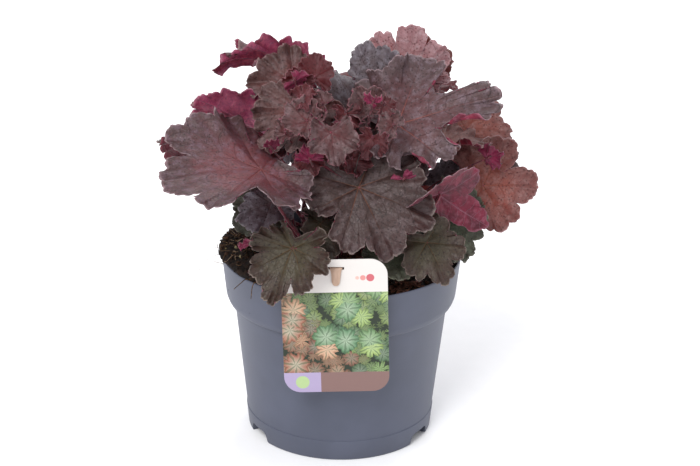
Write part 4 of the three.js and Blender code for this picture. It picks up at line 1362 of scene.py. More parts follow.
@dataclass(frozen=True)
class PotPlastic:
    """Slate-blue moulded polypropylene with a fine satin grain, dusty here and there."""

    name: str = "moulded_polypropylene"
    base: str = "#505464"
    shade: str = "#494d5c"
    dust: str = "#6b6f7c"
    cloud_mm: float = 45.0
    grain_mm: float = 0.5
    flow_mm: float = 2.5

    def make(self) -> bpy.types.Material:
        """Build the material.

        Returns:
            The material.
        """
        material, add = new_material(self.name)
        place = add(COORDS).node.outputs["Object"]
        cloud = add(NOISE, place, None, 1 / (self.cloud_mm * MM), 3.0)
        turn = add(RANGE, cloud, 0.35, 0.7, **SMOOTH)
        # Fine dust specks that catch on the moulding's grain.
        grain = add(NOISE, place, None, 1 / (self.grain_mm * MM), 2.0)
        speck = add(RANGE, grain, 0.66, 0.8, 0.0, 0.3, **SMOOTH)
        body = linear(self.shade)
        for share, colour in ((turn, self.base), (speck, self.dust)):
            body = add(MIX, share, data_type="RGBA", inputs={6: body, 7: linear(colour)})
        # Flow marks run round the wall.
        flat = add(MAPPING, place, inputs={"Scale": (0.06, 0.06, 1.0)})
        flow = add(NOISE, flat, None, 1 / (self.flow_mm * MM), 2.0)
        relief = add(MATH, flow, 0.5, grain, operation="MULTIPLY_ADD")
        bump = add(BUMP, inputs={"Strength": 0.25, "Distance": 0.1 * MM, "Height": relief})
        gloss = add(MATH, cloud, 0.16, 0.4, operation="MULTIPLY_ADD")
        add(OUTPUT, add(SKIN, inputs={"Base Color": body, "Roughness": gloss, "IOR": 1.49, "Normal": bump}))
        return material


@dataclass
class NurseryPot:
    """The moulded pot: a stepped band with a rolled lip, a foot step, and a notched, drained floor."""

    steps: int = 144
    sharp: float = 38.0
    # The foot notches: how far out and up their middle is, their size, and how they narrow and round off.
    notch_turns: tuple[int, ...] = (-150, -30, 90)
    notch_at_mm: tuple[float, float] = (73.1, 3.9)
    notch_mm: tuple[float, float, float] = (14.0, 27.0, 9.8)
    notch_narrowing: float = 0.78
    notch_round_mm: float = 3.2
    # The drain holes: how far out and up their middle is, their radius and depth.
    drain_turns: tuple[int, ...] = (30, 90, 150, 210, 270, 330)
    drain_at_mm: tuple[float, float] = (50.0, 7.5)
    drain_mm: tuple[float, float] = (4.5, 8.0)
    profile_mm: tuple[tuple[float, float], ...] = (
        (0, 0), (30, 0), (35, 7), (65.3, 7), (69.3, 0.4), (69.9, 0), (73.3, 0), (73.9, 0.5), (74.4, 1.4),
        (75.97, 17.0), (75.95, 17.25), (75.5, 17.5), (75.45, 17.9), (85.2, 109.2), (85.5, 109.9), (86.1, 110.2),
        (88.6, 110.5), (89.6, 111.0), (90.4, 112.4), (91.5, 115.4), (91.8, 117.0), (94.9, 146.3), (95.0, 147.0),
        (94.8, 147.7), (94.3, 148.0), (93.7, 147.8), (93.4, 147.2), (90.5, 117.0), (89.6, 114.0), (88.2, 112.2),
        (84.2, 110.6), (83.6, 109.4), (73.9, 11.0), (72.0, 8.8), (69.3, 8.2), (35, 8.6), (30, 1.6), (0, 1.6),
    )  # fmt: skip

    def build(self) -> bpy.types.Object:
        """Spin the profile, then cut the foot notches and the drain holes.

        Returns:
            The piece, riding on the object.
        """
        bm = bmesh.new()
        line = [bm.verts.new((r * MM, 0, z * MM)) for r, z in self.profile_mm]
        edges = [bm.edges.new(pair) for pair in zip(line, line[1:])]
        bmesh.ops.spin(
            bm, geom=line + edges, cent=(0, 0, 0), axis=(0, 0, 1), angle=TURN, steps=self.steps, use_merge=True
        )
        bmesh.ops.remove_doubles(bm, verts=bm.verts, dist=1e-6)
        bmesh.ops.recalc_face_normals(bm, faces=bm.faces)
        pot = to_object(bm, "moulded_pot", [PotPlastic().make()])
        cutters = [self.notch(turn) for turn in self.notch_turns]
        cut_away(pot, cutters + [self.drain(turn) for turn in self.drain_turns])
        for face in pot.data.polygons:
            face.use_smooth = True
        pot.data.set_sharp_from_angle(angle=math.radians(self.sharp))
        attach(pot, ROOT)
        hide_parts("pot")
        return pot

    def notch(self, turn: float) -> bpy.types.Object:
        """Make the cutter of one foot notch, narrower at its top.

        Args:
            turn: where round the foot it is, in degrees.

        Returns:
            The cutter.
        """
        bm = bmesh.new()
        out, up = (length * MM for length in self.notch_at_mm)
        size = Matrix.Diagonal((*(length * MM for length in self.notch_mm), 1))
        place = Matrix.Translation((out, 0, up)) @ size
        made = bmesh.ops.create_cube(bm, size=1.0, matrix=place)["verts"]
        top = [vert for vert in made if vert.co.z > up]
        for vert in top:
            vert.co.y *= self.notch_narrowing
        upper = {edge for vert in top for edge in vert.link_edges if edge.other_vert(vert) in top}
        outward = [edge for edge in upper if abs(edge.verts[0].co.x - edge.verts[1].co.x) > MM]
        radius = self.notch_round_mm * MM
        bmesh.ops.bevel(bm, geom=outward, offset=radius, segments=4, profile=0.5, affect="EDGES", material=-1)
        bmesh.ops.transform(bm, matrix=Matrix.Rotation(math.radians(turn), 4, "Z"), verts=bm.verts)
        return to_object(bm, "notch_cutter", [])

    def drain(self, turn: float) -> bpy.types.Object:
        """Make the cutter of one drain hole.

        Args:
            turn: where round the floor it is, in degrees.

        Returns:
            The cutter.
        """
        bm = bmesh.new()
        out, up = (length * MM for length in self.drain_at_mm)
        radius, depth = (length * MM for length in self.drain_mm)
        at = Matrix.Translation(Matrix.Rotation(math.radians(turn), 4, "Z") @ Vector((out, 0, up)))
        size = {"radius1": radius, "radius2": radius, "depth": depth}
        bmesh.ops.create_cone(bm, cap_ends=True, segments=32, matrix=at, **size)
        return to_object(bm, "drain_cutter", [])


# ---------------------------------------------------------------- compost and crown


@dataclass(frozen=True)
class Earth:
    """A dull organic material: two browns in clumps, with paler grains and a rough surface."""

    name: str
    dark: str
    light: str
    grain: str
    grain_share: float = 0.5
    clump_mm: float = 4.0
    fine_mm: float = 0.8
    grain_mm: float = 1.6
    relief_mm: float = 0.9

    def make(self) -> bpy.types.Material:
        """Build the material.

        Returns:
            The material.
        """
        material, add = new_material(self.name)
        place = add(COORDS).node.outputs["Object"]
        clump = add(NOISE, place, None, 1 / (self.clump_mm * MM), 5.0)
        turn = add(RANGE, clump, 0.38, 0.66, **SMOOTH)
        # Small pale grains, only where the clumps part.
        fine = add(NOISE, place, None, 1 / (self.fine_mm * MM), 3.0)
        grains = add(CELLS, place, None, 1 / (self.grain_mm * MM))
        grains = add(RANGE, grains, 0.2, 0.08, 0.0, self.grain_share, **SMOOTH)
        speck = add(MATH, grains, add(RANGE, fine, 0.5, 0.62, **SMOOTH), operation="MULTIPLY")
        body = linear(self.dark)
        for share, colour in ((turn, self.light), (speck, self.grain)):
            body = add(MIX, share, data_type="RGBA", inputs={6: body, 7: linear(colour)})
        relief = add(MATH, clump, 1.2, fine, operation="MULTIPLY_ADD")
        bump = add(BUMP, inputs={"Strength": 0.9, "Distance": self.relief_mm * MM, "Height": relief})
        skin = {"Base Color": body, "Roughness": 0.93, "Specular IOR Level": 0.25, "Normal": bump}
        add(OUTPUT, add(SKIN, inputs=skin))
        return material


PEAT = Earth("peat_compost", "#150f0c", "#2f231c", "#62503d")
BARK = Earth("bark_crumb", "#2a1a11", "#4d3422", "#80633f", 0.3, 2.5)
DRY_LEAF = Earth("dry_leaf_litter", "#3d2319", "#6e4735", "#957060", 0.4, 3.0)
ROOT_SKIN = Earth("pale_fibrous_root", "#7c6650", "#a8917a", "#c7b5a0", 0.5, 2.0)
STRAW = Earth("dry_straw", "#463323", "#765a3e", "#a58a66", 0.4, 2.0)
PERLITE = Earth("perlite_grain", "#8f8460", "#bfb48a", "#d8d0b4", 0.4, 1.5)
STOCK = Earth("rough_crown_stock", "#2b1a12", "#5b3b27", "#8a6443", 0.5, 3.0)


class Litter(IntEnum):
    """The material slots of what lies on the compost."""

    BARK = 0
    PEAT = 1
    PERLITE = 2
    ROOT = 3
    STRAW = 4
    FLAKE = 5


LITTER_SKINS = (BARK, PEAT, PERLITE, ROOT_SKIN, STRAW, DRY_LEAF)


@dataclass(frozen=True)
class Strand:
    """One root or straw that hangs free of the compost."""

    points_mm: tuple[tuple[float, float, float], ...]
    radius_mm: float
    slot: Litter


def remeshed(node_name: str, name: str, material: bpy.types.Material, voxel_mm: float) -> bpy.types.Object:
    """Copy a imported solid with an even, fine mesh.

    Args:
        node_name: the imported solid.
        name: the new piece's name.
        material: what it is made of.
        voxel_mm: how fine the mesh is.

    Returns:
        The new piece.
    """
    piece = to_object(merged_copy(node_name), name, [material])
    remesh = piece.modifiers.new("fine", "REMESH")
    remesh.mode = "VOXEL"
    remesh.voxel_size = voxel_mm * MM
    remesh.use_smooth_shade = True
    apply_modifiers(piece)
    if not piece.data.materials:
        piece.data.materials.append(material)
    return piece


@dataclass
class RootBall:
    """The compost with its crumbs, litter and stray roots, mounded over the rim at one side."""

    voxel_mm: float = 2.0
    # The open top starts at this height and is rough from a bit above it.
    level_mm: float = 133.0
    ramp_mm: float = 6.0
    # How wide the lumps of the open top are, and their share of the height.
    lump_mm: float = 1.5
    lumps: tuple[tuple[float, float], ...] = ((11, 0.9), (3.4, 1.0), (1.6, 0.6))
    crumbs: int = 1700
    grains: int = 70
    straws: int = 120
    specks: int = 16
    flakes: int = 9
    seed: int = 31
    # Round areas that are strewn: x, y and radius.
    whole_mm: tuple[float, float, float] = (0.0, 0.0, 112.0)
    inner_mm: tuple[float, float, float] = (0.0, 0.0, 95.0)
    mound_mm: tuple[float, float, float] = (-84.0, -12.0, 26.0)
    dead_leaf_mm: tuple[float, float, float] = (50.0, -58.0, 13.0)
    stones_mm: tuple[tuple[float, float], ...] = (
        (41, -36), (38, -30), (45, -43), (36, -40), (-82, -20), (-78, -34)
    )  # fmt: skip
    # The rim band: how high its foot is, its radius there and how it widens upwards.
    band: tuple[float, float, float] = (117.0, 91.9, 0.106)
    splash_mm: tuple[float, float] = (119.0, 146.0)
    strands: tuple[Strand, ...] = (
        Strand(
            ((-92, -5, 150), (-104, -6, 152), (-116, -6, 150), (-128, -7, 153), (-138, -7, 157)),
            0.18,
            Litter.ROOT,
        ),
        Strand(
            (
                (-93, -6, 148), (-108, -8, 141), (-115, -8, 128),
                (-120, -9, 113), (-118, -9, 106), (-122, -9, 99),
            ),
            0.2,
            Litter.ROOT,
        ),  # fmt: skip
        Strand(((-90, -9, 140), (-99, -11, 137), (-112, -12, 133)), 0.2, Litter.ROOT),
        Strand(((-92, -14, 141), (-99, -15, 143), (-101, -15, 145)), 0.3, Litter.ROOT),
        Strand(((-66, -60, 146), (-72, -66, 150.5), (-76, -70, 149), (-81, -75, 146)), 0.5, Litter.STRAW),
        Strand(((-60, -66, 147), (-65, -72, 150.5), (-67, -75, 148), (-68, -77, 139)), 0.5, Litter.STRAW),
        Strand(((-80, 8, 152), (-89, 10, 161), (-95, 9, 162)), 0.25, Litter.ROOT),
    )

    def build(self) -> list[bpy.types.Object]:
        """Make the compost's body and all that lies on it.

        Returns:
            The pieces, riding on the object.
        """
        body = self.soil()
        tree = BVHTree.FromObject(body, bpy.context.evaluated_depsgraph_get())
        litter = self.litter(tree)
        for piece in (body, litter):
            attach(piece, ROOT)
        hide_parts("compost")
        return [body, litter]

    def soil(self) -> bpy.types.Object:
        """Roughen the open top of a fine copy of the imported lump.

        Returns:
            The new object.
        """
        soil = remeshed("compost", "compost_body", PEAT.make(), self.voxel_mm)
        for vert in soil.data.vertices:
            share = float(ease((vert.co.z / MM - self.level_mm) / self.ramp_mm))
            if share > 0:
                lumps = [noise.noise(vert.co / (size * MM)) * weight for size, weight in self.lumps]
                vert.co += vert.normal * sum(lumps) * share * self.lump_mm * MM
        return soil

    def spot(
        self, tree: BVHTree, draw: random.Random, area_mm: tuple[float, float, float]
    ) -> tuple[Vector, Vector] | None:
        """Find a random place on the open compost.

        Args:
            tree: the compost's surface.
            draw: the random stream.
            area_mm: the round area that is searched: x, y and radius.

        Returns:
            The place and the way that it faces, or None off the compost.
        """
        x, y, reach = (length * MM for length in area_mm)
        way = reach * math.sqrt(draw.random())
        turn = draw.uniform(0, TURN)
        above = Vector((x, y, 0)) + Vector((way * math.cos(turn), way * math.sin(turn), HIGH))
        place, normal, _, _ = tree.ray_cast(above, DOWN)
        if place is None or place.z < self.level_mm * MM:
            return None
        return place, normal

    def splashes(self, bm: bmesh.types.BMesh, draw: random.Random) -> None:
        """Leave a few specks of compost on the outside of the rim band.

        Args:
            bm: the litter's bmesh.
            draw: the random stream.
        """
        foot, narrow, widening = self.band
        for _ in range(self.specks):
            turn, height = draw.uniform(0, TURN), draw.uniform(*self.splash_mm)
            radius = (narrow + widening * (height - foot)) * MM
            place = Vector((radius * math.cos(turn), radius * math.sin(turn), height * MM))
            self.crumb(bm, place, draw.uniform(0.3, 0.7), Litter.BARK, draw)

    def litter(self, tree: BVHTree) -> bpy.types.Object:
        """Scatter crumbs, grains, straws and leaf flakes over the compost.

        Args:
            tree: the compost's surface.

        Returns:
            The new object.
        """
        draw = random.Random(self.seed)
        # Without this, noise_vector is shifted by the clock.
        noise.seed_set(self.seed)
        bm = bmesh.new()
        for number in range(self.crumbs + self.grains):
            found = self.spot(tree, draw, self.whole_mm)
            if found is None:
                continue
            place, normal = found
            pale = number >= self.crumbs
            size = draw.uniform(0.5, 1.2) if pale else draw.triangular(0.4, 2.8, 0.8)
            slot = Litter.PERLITE if pale else draw.choice((Litter.BARK, Litter.BARK, Litter.PEAT))
            self.crumb(bm, place + normal * size * 0.3 * MM, size, slot, draw)
        for number in range(self.straws):
            found = self.spot(tree, draw, self.mound_mm if number % 3 else self.inner_mm)
            if found is None:
                continue
            place, normal = found
            path = self.curl(place + normal * 0.5 * MM, normal, draw, draw.uniform(5, 15) * MM)
            radius = draw.triangular(0.14, 0.5, 0.2) * MM
            slot = draw.choice((Litter.ROOT, Litter.STRAW, Litter.STRAW))
            add_tube(bm, path, [radius * share for share in (0.7, 1, 1, 1, 0.9, 0.7, 0.4)], 4, slot)
        for strand in self.strands:
            path = flowing_path([Vector(point) * MM for point in strand.points_mm], 14)
            radii = [strand.radius_mm * MM * (1 - 0.03 * k) for k in range(len(path))]
            add_tube(bm, path, radii, 5, strand.slot)
        self.dead_leaf(bm, tree, draw)
        for x, y in self.stones_mm:
            place, normal, _, _ = tree.ray_cast(Vector((x * MM, y * MM, HIGH)), DOWN)
            self.crumb(bm, place + normal * MM, draw.uniform(1.4, 2.1), Litter.PERLITE, draw)
        self.splashes(bm, draw)
        materials = [bpy.data.materials.get(finish.name) or finish.make() for finish in LITTER_SKINS]
        return to_object(bm, "compost_litter", materials)

    @staticmethod
    def crumb(bm: bmesh.types.BMesh, place: Vector, size: float, slot: Litter, draw: random.Random) -> None:
        """Lay one uneven crumb.

        Args:
            bm: the litter's bmesh.
            place: where it lies.
            size: its radius in millimetres.
            slot: its material slot.
            draw: the random stream.
        """
        stretch = Matrix.Diagonal((draw.uniform(0.6, 1.5), draw.uniform(0.6, 1.2), draw.uniform(0.4, 0.9), 1))
        turn = Matrix.Rotation(draw.uniform(0, 6.3), 4, (draw.random(), draw.random(), 1.0))
        matrix = Matrix.Translation(place) @ turn @ stretch
        made = bmesh.ops.create_icosphere(bm, subdivisions=1, radius=size * MM, matrix=matrix)["verts"]
        for vert in made:
            vert.co += Vector([draw.uniform(-0.25, 0.25) for _ in range(3)]) * size * MM
        set_slot(made, slot)

    def dead_leaf(self, bm: bmesh.types.BMesh, tree: BVHTree, draw: random.Random) -> None:
        """Heap the crumpled flakes of an old brown leaf near the rim.

        Args:
            bm: the litter's bmesh.
            tree: the compost's surface.
            draw: the random stream.
        """
        for _ in range(self.flakes):
            found = self.spot(tree, draw, self.dead_leaf_mm)
            if found is None:
                continue
            place, normal = found
            flake = bmesh.new()
            bmesh.ops.create_grid(flake, x_segments=7, y_segments=6, size=draw.uniform(3.0, 5.5) * MM)
            offset = Vector([draw.uniform(0, 50) for _ in range(3)])
            for vert in flake.verts:
                vert.co.x *= 1 - 0.5 * (abs(vert.co.y) / (5.5 * MM)) ** 2
                vert.co.z += (noise.noise(vert.co / (3.2 * MM) + offset) * 2.6 + 0.8) * MM
                vert.co += noise.noise_vector(vert.co / (4 * MM) + offset) * 1.2 * MM
            bmesh.ops.solidify(flake, geom=flake.faces, thickness=0.3 * MM)
            tilt = Matrix.Rotation(draw.uniform(-0.7, 0.7), 4, "X")
            tilt = tilt @ Matrix.Rotation(draw.uniform(0, 6.3), 4, "Z")
            matrix = Matrix.Translation(place + normal * 1.8 * MM) @ tilt
            bmesh.ops.transform(flake, matrix=matrix, verts=flake.verts)
            set_slot(flake.verts, Litter.FLAKE)
            join_meshes(bm, flake)

    @staticmethod
    def curl(start: Vector, normal: Vector, draw: random.Random, length: float) -> list[Vector]:
        """Wander a short fibre over the ground.

        Args:
            start: where it starts.
            normal: the way that the ground faces.
            draw: the random stream.
            length: its length.

        Returns:
            The fibre's points.
        """
        heading = normal.orthogonal().normalized()
        heading.rotate(Matrix.Rotation(draw.uniform(0, TURN), 3, normal))
        points = [start]
        for _ in range(6):
            heading.rotate(Matrix.Rotation(draw.uniform(-0.5, 0.5), 3, normal))
            rise = normal * draw.uniform(-0.3, 0.4)
            points.append(points[-1] + (heading + rise).normalized() * length / 6)
        return points


@dataclass
class Crown:
    """The woody stock in the middle, with the papery feet of old leaves."""

    voxel_mm: float = 1.6
    ridge_mm: float = 1.3
    top_mm: tuple[float, float, float] = (-4.0, -3.0, 30.0)
    scales: int = 70
    seed: int = 12

    def build(self) -> bpy.types.Object:
        """Make the stock and its scales.

        Returns:
            The piece, riding on the object.
        """
        stock = remeshed("crown", "crown_stock", STOCK.make(), self.voxel_mm)
        for vert in stock.data.vertices:
            ridge = noise.noise(Vector((vert.co.x, vert.co.y, vert.co.z * 0.35)) / (5 * MM))
            vert.co += vert.normal * ridge * self.ridge_mm * MM
        tree = BVHTree.FromObject(stock, bpy.context.evaluated_depsgraph_get())
        bm = bmesh.new()
        bm.from_mesh(stock.data)
        draw = random.Random(self.seed)
        x, y, reach = (length * MM for length in self.top_mm)
        for _ in range(self.scales):
            turn = draw.uniform(0, TURN)
            way = reach * math.sqrt(draw.random())
            above = Vector((way * math.cos(turn) + x, way * math.sin(turn) + y, HIGH))
            place, normal, _, _ = tree.ray_cast(above, DOWN)
            if place is not None:
                self.scale(bm, place, normal, draw)
        bm.to_mesh(stock.data)
        bm.free()
        stock.data.materials.append(DRY_LEAF.make())
        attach(stock, ROOT)
        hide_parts("crown")
        return stock

    @staticmethod
    def scale(bm: bmesh.types.BMesh, place: Vector, normal: Vector, draw: random.Random) -> None:
        """Stand one papery scale on the stock.

        Args:
            bm: the stock's bmesh.
            place: where it stands.
            normal: the way that the stock faces there.
            draw: the random stream.
        """
        length = draw.uniform(5, 10) * MM
        lean = (normal + Vector([draw.uniform(-0.5, 0.5) for _ in range(3)])).normalized()
        turn = lean.to_track_quat("Z", "Y").to_matrix().to_4x4() @ Matrix.Rotation(draw.uniform(0, 6.3), 4, "Z")
        matrix = Matrix.Translation(place + lean * length * 0.4) @ turn @ Matrix.Diagonal((1, 0.3, 1, 1))
        made = bmesh.ops.create_cone(
            bm, cap_ends=True, segments=7, radius1=2.4 * MM, radius2=0.4 * MM, depth=length, matrix=matrix
        )["verts"]
        set_slot(made, 1)
        for face in {face for vert in made for face in vert.link_faces}:
            face.smooth = True


# ---------------------------------------------------------------- card and clip


@dataclass(frozen=True)
class CardPrint:
    """A satin white card with a made-up print: a header, a mosaic of leaves and a coloured foot."""

    name: str = "printed_plastic_card"
    middle_mm: tuple[float, float, float] = (-3.5, -97.2, 126.5)
    lean: float = 2.1
    # Two layers of printed leaves: size in millimetres, share of the cell that a leaf fills, lightness.
    layers: tuple[tuple[float, float, float], ...] = ((10.0, 0.6, 0.55), (19.0, 0.42, 1.0))
    panel_top: float = 28.0
    foot_top: float = -38.0
    block_side: float = -12.0
    # The print stops this short of the card's back, in whose plane the middle lies.
    bare_mm: float = 0.05
    warp_mm: float = 4.0
    film_mm: float = 30.0
    paper: str = "#dad5d0"
    ground: str = "#1e2a19"
    foot: str = "#7f625d"
    block: str = "#a698b8"
    green: tuple[str, str] = ("#4f7d58", "#a7bd6a")
    copper: tuple[str, str] = ("#96523e", "#d0a080")
    silver: str = "#c3cfb8"
    vein: str = "#33502f"
    shade: str = "#25351f"
    dots: tuple[tuple[tuple[float, float], float, str], ...] = (
        ((-26.0, -46.0), 5.2, "#a9c088"),
        ((27.0, 39.5), 3.0, "#c4626a"),
        ((21.5, 39.5), 2.1, "#d58f8a"),
        ((17.3, 39.5), 1.4, "#e0b3a8"),
    )

    def leaves(
        self, add: Add, local: bpy.types.NodeSocket, size: float, share: float, light: float
    ) -> tuple[bpy.types.NodeSocket, bpy.types.NodeSocket]:
        """Print one layer of lobed, veined leaves, each turned about the middle of its own cell.

        Args:
            add: adds a node to the material.
            local: the place on the card in millimetres.
            size: the cells' size in millimetres.
            share: how much of its cell a leaf fills.
            light: how light the layer is.

        Returns:
            The layer's colour, and 1 where a leaf covers what is below.
        """
        cells = add(CELLS, local, None, 1 / size, inputs={"Randomness": 0.85})
        centre = cells.node.outputs["Position"]
        side = add(SPLIT, add(VECTOR, local, centre, operation="SUBTRACT"))
        own = add(SPLIT, cells.node.outputs["Color"])
        # Seven rounded lobes with fine teeth, turned by the leaf's own number.
        angle = add(MATH, side.node.outputs["Z"], side, operation="ARCTAN2")
        angle = add(MATH, own, 6.3, angle, operation="MULTIPLY_ADD")
        lobe = add(MATH, add(MATH, angle, 3.5, operation="MULTIPLY"), operation="SINE")
        lobe = add(MATH, lobe, operation="ABSOLUTE")
        tooth = add(MATH, add(MATH, angle, 24.0, operation="MULTIPLY"), operation="SINE")
        edge = add(MATH, tooth, 0.02, share, operation="MULTIPLY_ADD")
        edge = add(MATH, lobe, 0.16, edge, operation="MULTIPLY_ADD")
        reach = add(MATH, cells, edge, operation="DIVIDE")
        # Green on one side of the panel, copper on the other, each leaf in its own tint.
        where = add(SPLIT, centre)
        warm = add(MATH, where.node.outputs["Z"], 1.0, where, operation="MULTIPLY_ADD")
        warm = add(MATH, own, 16.0, warm, operation="MULTIPLY_ADD")
        warm = add(RANGE, warm, -10.0, -4.0, 1.0, 0.0)
        green, copper = (
            add(MIX, own.node.outputs["Y"], data_type="RGBA", inputs={6: linear(dark), 7: linear(pale)})
            for dark, pale in (self.green, self.copper)
        )
        leaf = add(MIX, warm, data_type="RGBA", inputs={6: green, 7: copper})
        # The skin between the veins is silvery towards the middle.
        silver = add(RANGE, reach, 0.95, 0.2, 0.0, 0.55)
        main = add(MATH, lobe, add(RANGE, reach, 0.0, 1.0, 0.8, 0.985), operation="GREATER_THAN")
        rib = add(MATH, lobe, 3.0, reach, operation="MULTIPLY_ADD")
        rib = add(MATH, add(MATH, rib, 4.0, operation="MULTIPLY"), operation="FRACT")
        rib = add(RANGE, rib, 0.2, 0.0, 0.0, 0.7)
        vein = add(MATH, add(MATH, main, rib, operation="MAXIMUM"), 0.6, operation="MULTIPLY")
        shade = add(RANGE, reach, 0.8, 1.0, 0.0, 0.5)
        for part, colour in ((silver, self.silver), (vein, self.vein), (shade, self.shade)):
            leaf = add(MIX, part, data_type="RGBA", inputs={6: leaf, 7: linear(colour)})
        leaf = add(VECTOR, leaf, inputs={"Scale": light}, operation="SCALE")
        return leaf, add(MATH, reach, 1.0, operation="LESS_THAN")

    def make(self) -> bpy.types.Material:
        """Build the material.

        Returns:
            The material.
        """
        material, add = new_material(self.name)
        place = {
            "Vector": add(COORDS).node.outputs["Object"],
            "Location": tuple(length * MM for length in self.middle_mm),
            "Rotation": (0, -math.radians(self.lean), 0),
            "Scale": (MM, MM, MM),
        }
        local = add(MAPPING, inputs=place, vector_type="TEXTURE")
        across = add(SPLIT, local)
        up = across.node.outputs["Z"]
        flat = add(VECTOR, local, (1.0, 0.0, 1.0), operation="MULTIPLY")
        # A slight warp keeps the printed leaves from looking drawn with compasses.
        warp = add(NOISE, flat, None, 1 / self.warp_mm, 2.0).node.outputs["Color"]
        warp = add(VECTOR, warp, (0.5, 0.5, 0.5), operation="SUBTRACT")
        warp = add(VECTOR, warp, (3.0, 0.0, 3.0), operation="MULTIPLY")
        flat = add(VECTOR, flat, warp, operation="ADD")
        panel = linear(self.ground)
        for layer in self.layers:
            leaf, cover = self.leaves(add, flat, *layer)
            panel = add(MIX, cover, data_type="RGBA", inputs={6: panel, 7: leaf})
        # White header above the panel, a mauve foot with a lilac block, and dots.
        face = add(MATH, up, self.panel_top, operation="LESS_THAN")
        face = add(MIX, face, data_type="RGBA", inputs={6: linear(self.paper), 7: panel})
        foot = add(MATH, up, self.foot_top, operation="LESS_THAN")
        block = add(MATH, across, self.block_side, operation="LESS_THAN")
        prints = [(foot, self.foot), (add(MATH, block, foot, operation="MULTIPLY"), self.block)]
        for (x, z), radius, colour in self.dots:
            apart = add(VECTOR, local, (x, 0.0, z), operation="SUBTRACT")
            apart = add(VECTOR, apart, (1.0, 0.0, 1.0), operation="MULTIPLY")
            far = add(VECTOR, apart, operation="LENGTH").node.outputs["Value"]
            prints.append((add(MATH, far, radius, operation="LESS_THAN"), colour))
        for share, colour in prints:
            face = add(MIX, share, data_type="RGBA", inputs={6: face, 7: linear(colour)})
        # The back stays white.
        front = add(MATH, across.node.outputs["Y"], -self.bare_mm, operation="LESS_THAN")
        face = add(MIX, front, data_type="RGBA", inputs={6: linear(self.paper), 7: face})
        film = add(NOISE, local, None, 1 / self.film_mm, 2.0)
        gloss = add(MATH, film, 0.14, 0.26, operation="MULTIPLY_ADD")
        bump = add(BUMP, inputs={"Strength": 0.2, "Distance": 0.3 * MM, "Height": film})
        add(OUTPUT, add(SKIN, inputs={"Base Color": face, "Roughness": gloss, "IOR": 1.49, "Normal": bump}))
        return material


CLIP_PLASTIC = StreakedSkin("tan_moulded_strip", "#a88a76", "#bc9f8a", roughness=0.45, streak_mm=2.5, sheen=0.0)


@dataclass
class PlantCard:
    """The printed card, with the slot that its strip comes through."""

    edge_mm: float = 0.22
    sharp: float = 38.0
    shaded_sharp: float = 30.0
    slot_at_mm: tuple[float, float, float] = (-3.5, -97.6, 174.0)
    slot_mm: tuple[float, float, float] = (12.0, 4.0, 2.2)

    def build(self) -> bpy.types.Object:
        """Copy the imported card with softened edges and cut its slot.

        Returns:
            The piece, riding on the object.
        """
        bm = merged_copy("plant_card")
        flat = [edge for edge in bm.edges if edge.calc_face_angle(0) < math.radians(1)]
        bmesh.ops.dissolve_edges(bm, edges=flat, use_verts=True)
        hard = [edge for edge in bm.edges if edge.calc_face_angle(0) > math.radians(self.sharp)]
        radius = self.edge_mm * MM
        bmesh.ops.bevel(bm, geom=hard, offset=radius, segments=3, profile=0.5, affect="EDGES", material=-1)
        card = to_object(bm, "printed_card", [CardPrint().make()])
        size = Matrix.Diagonal((*(length * MM for length in self.slot_mm), 1))
        place = Matrix.Translation(Vector(self.slot_at_mm) * MM) @ size
        box = bmesh.new()
        bmesh.ops.create_cube(box, size=1.0, matrix=place)
        cut_away(card, [to_object(box, "slot_cutter", [])])
        card.data.set_sharp_from_angle(angle=math.radians(self.shaded_sharp))
        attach(card, ROOT)
        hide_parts("plant_card")
        return card


@dataclass
class TieStrip:
    """The tan strip: a rounded tongue in front, through the card's slot and down into the compost behind it."""

    x_mm: float = -3.5
    line_mm: tuple[tuple[float, float, float], ...] = (
        (-99.0, 160.2, 1.2), (-99.0, 160.6, 3.2), (-99.0, 161.4, 4.7), (-99.0, 162.8, 5.9), (-99.0, 166.0, 6.6),
        (-99.0, 170.0, 7.2), (-98.9, 173.0, 8.4), (-98.3, 174.0, 9.4), (-97.0, 174.2, 9.6), (-94.0, 173.4, 9.4),
        (-91.0, 169.0, 9.0), (-88.9, 162.0, 9.0), (-88.4, 150.0, 9.0), (-88.4, 136.0, 8.6), (-88.4, 121.0, 5.0),
    )  # fmt: skip
    columns: int = 4
    thickness_mm: float = 0.8
    edge_mm: float = 0.18

    def build(self) -> bpy.types.Object:
        """Bend a grid along the strip's line and give it thickness and soft edges.

        Returns:
            The piece, riding on the object.
        """
        bm = bmesh.new()
        across = self.columns + 1
        rows = len(self.line_mm) - 1
        made = list(bmesh.ops.create_grid(bm, x_segments=self.columns, y_segments=rows, size=1.0)["verts"])
        for k, (y, z, width) in enumerate(self.line_mm):
            for i, vert in enumerate(made[k * across : (k + 1) * across]):
                vert.co = Vector((self.x_mm + (i / self.columns - 0.5) * width, y, z)) * MM
        strip = to_object(bm, "card_strip", [CLIP_PLASTIC.make()])
        wall = strip.modifiers.new("thickness", "SOLIDIFY")
        wall.thickness = self.thickness_mm * MM
        wall.offset = 0.0
        soft = strip.modifiers.new("soft", "BEVEL")
        soft.width = self.edge_mm * MM
        soft.segments = 2
        soft.limit_method = "ANGLE"
        soft.angle_limit = math.radians(50)
        apply_modifiers(strip)
        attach(strip, ROOT)
        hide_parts("card_clip")
        return strip


# ---------------------------------------------------------------- studio


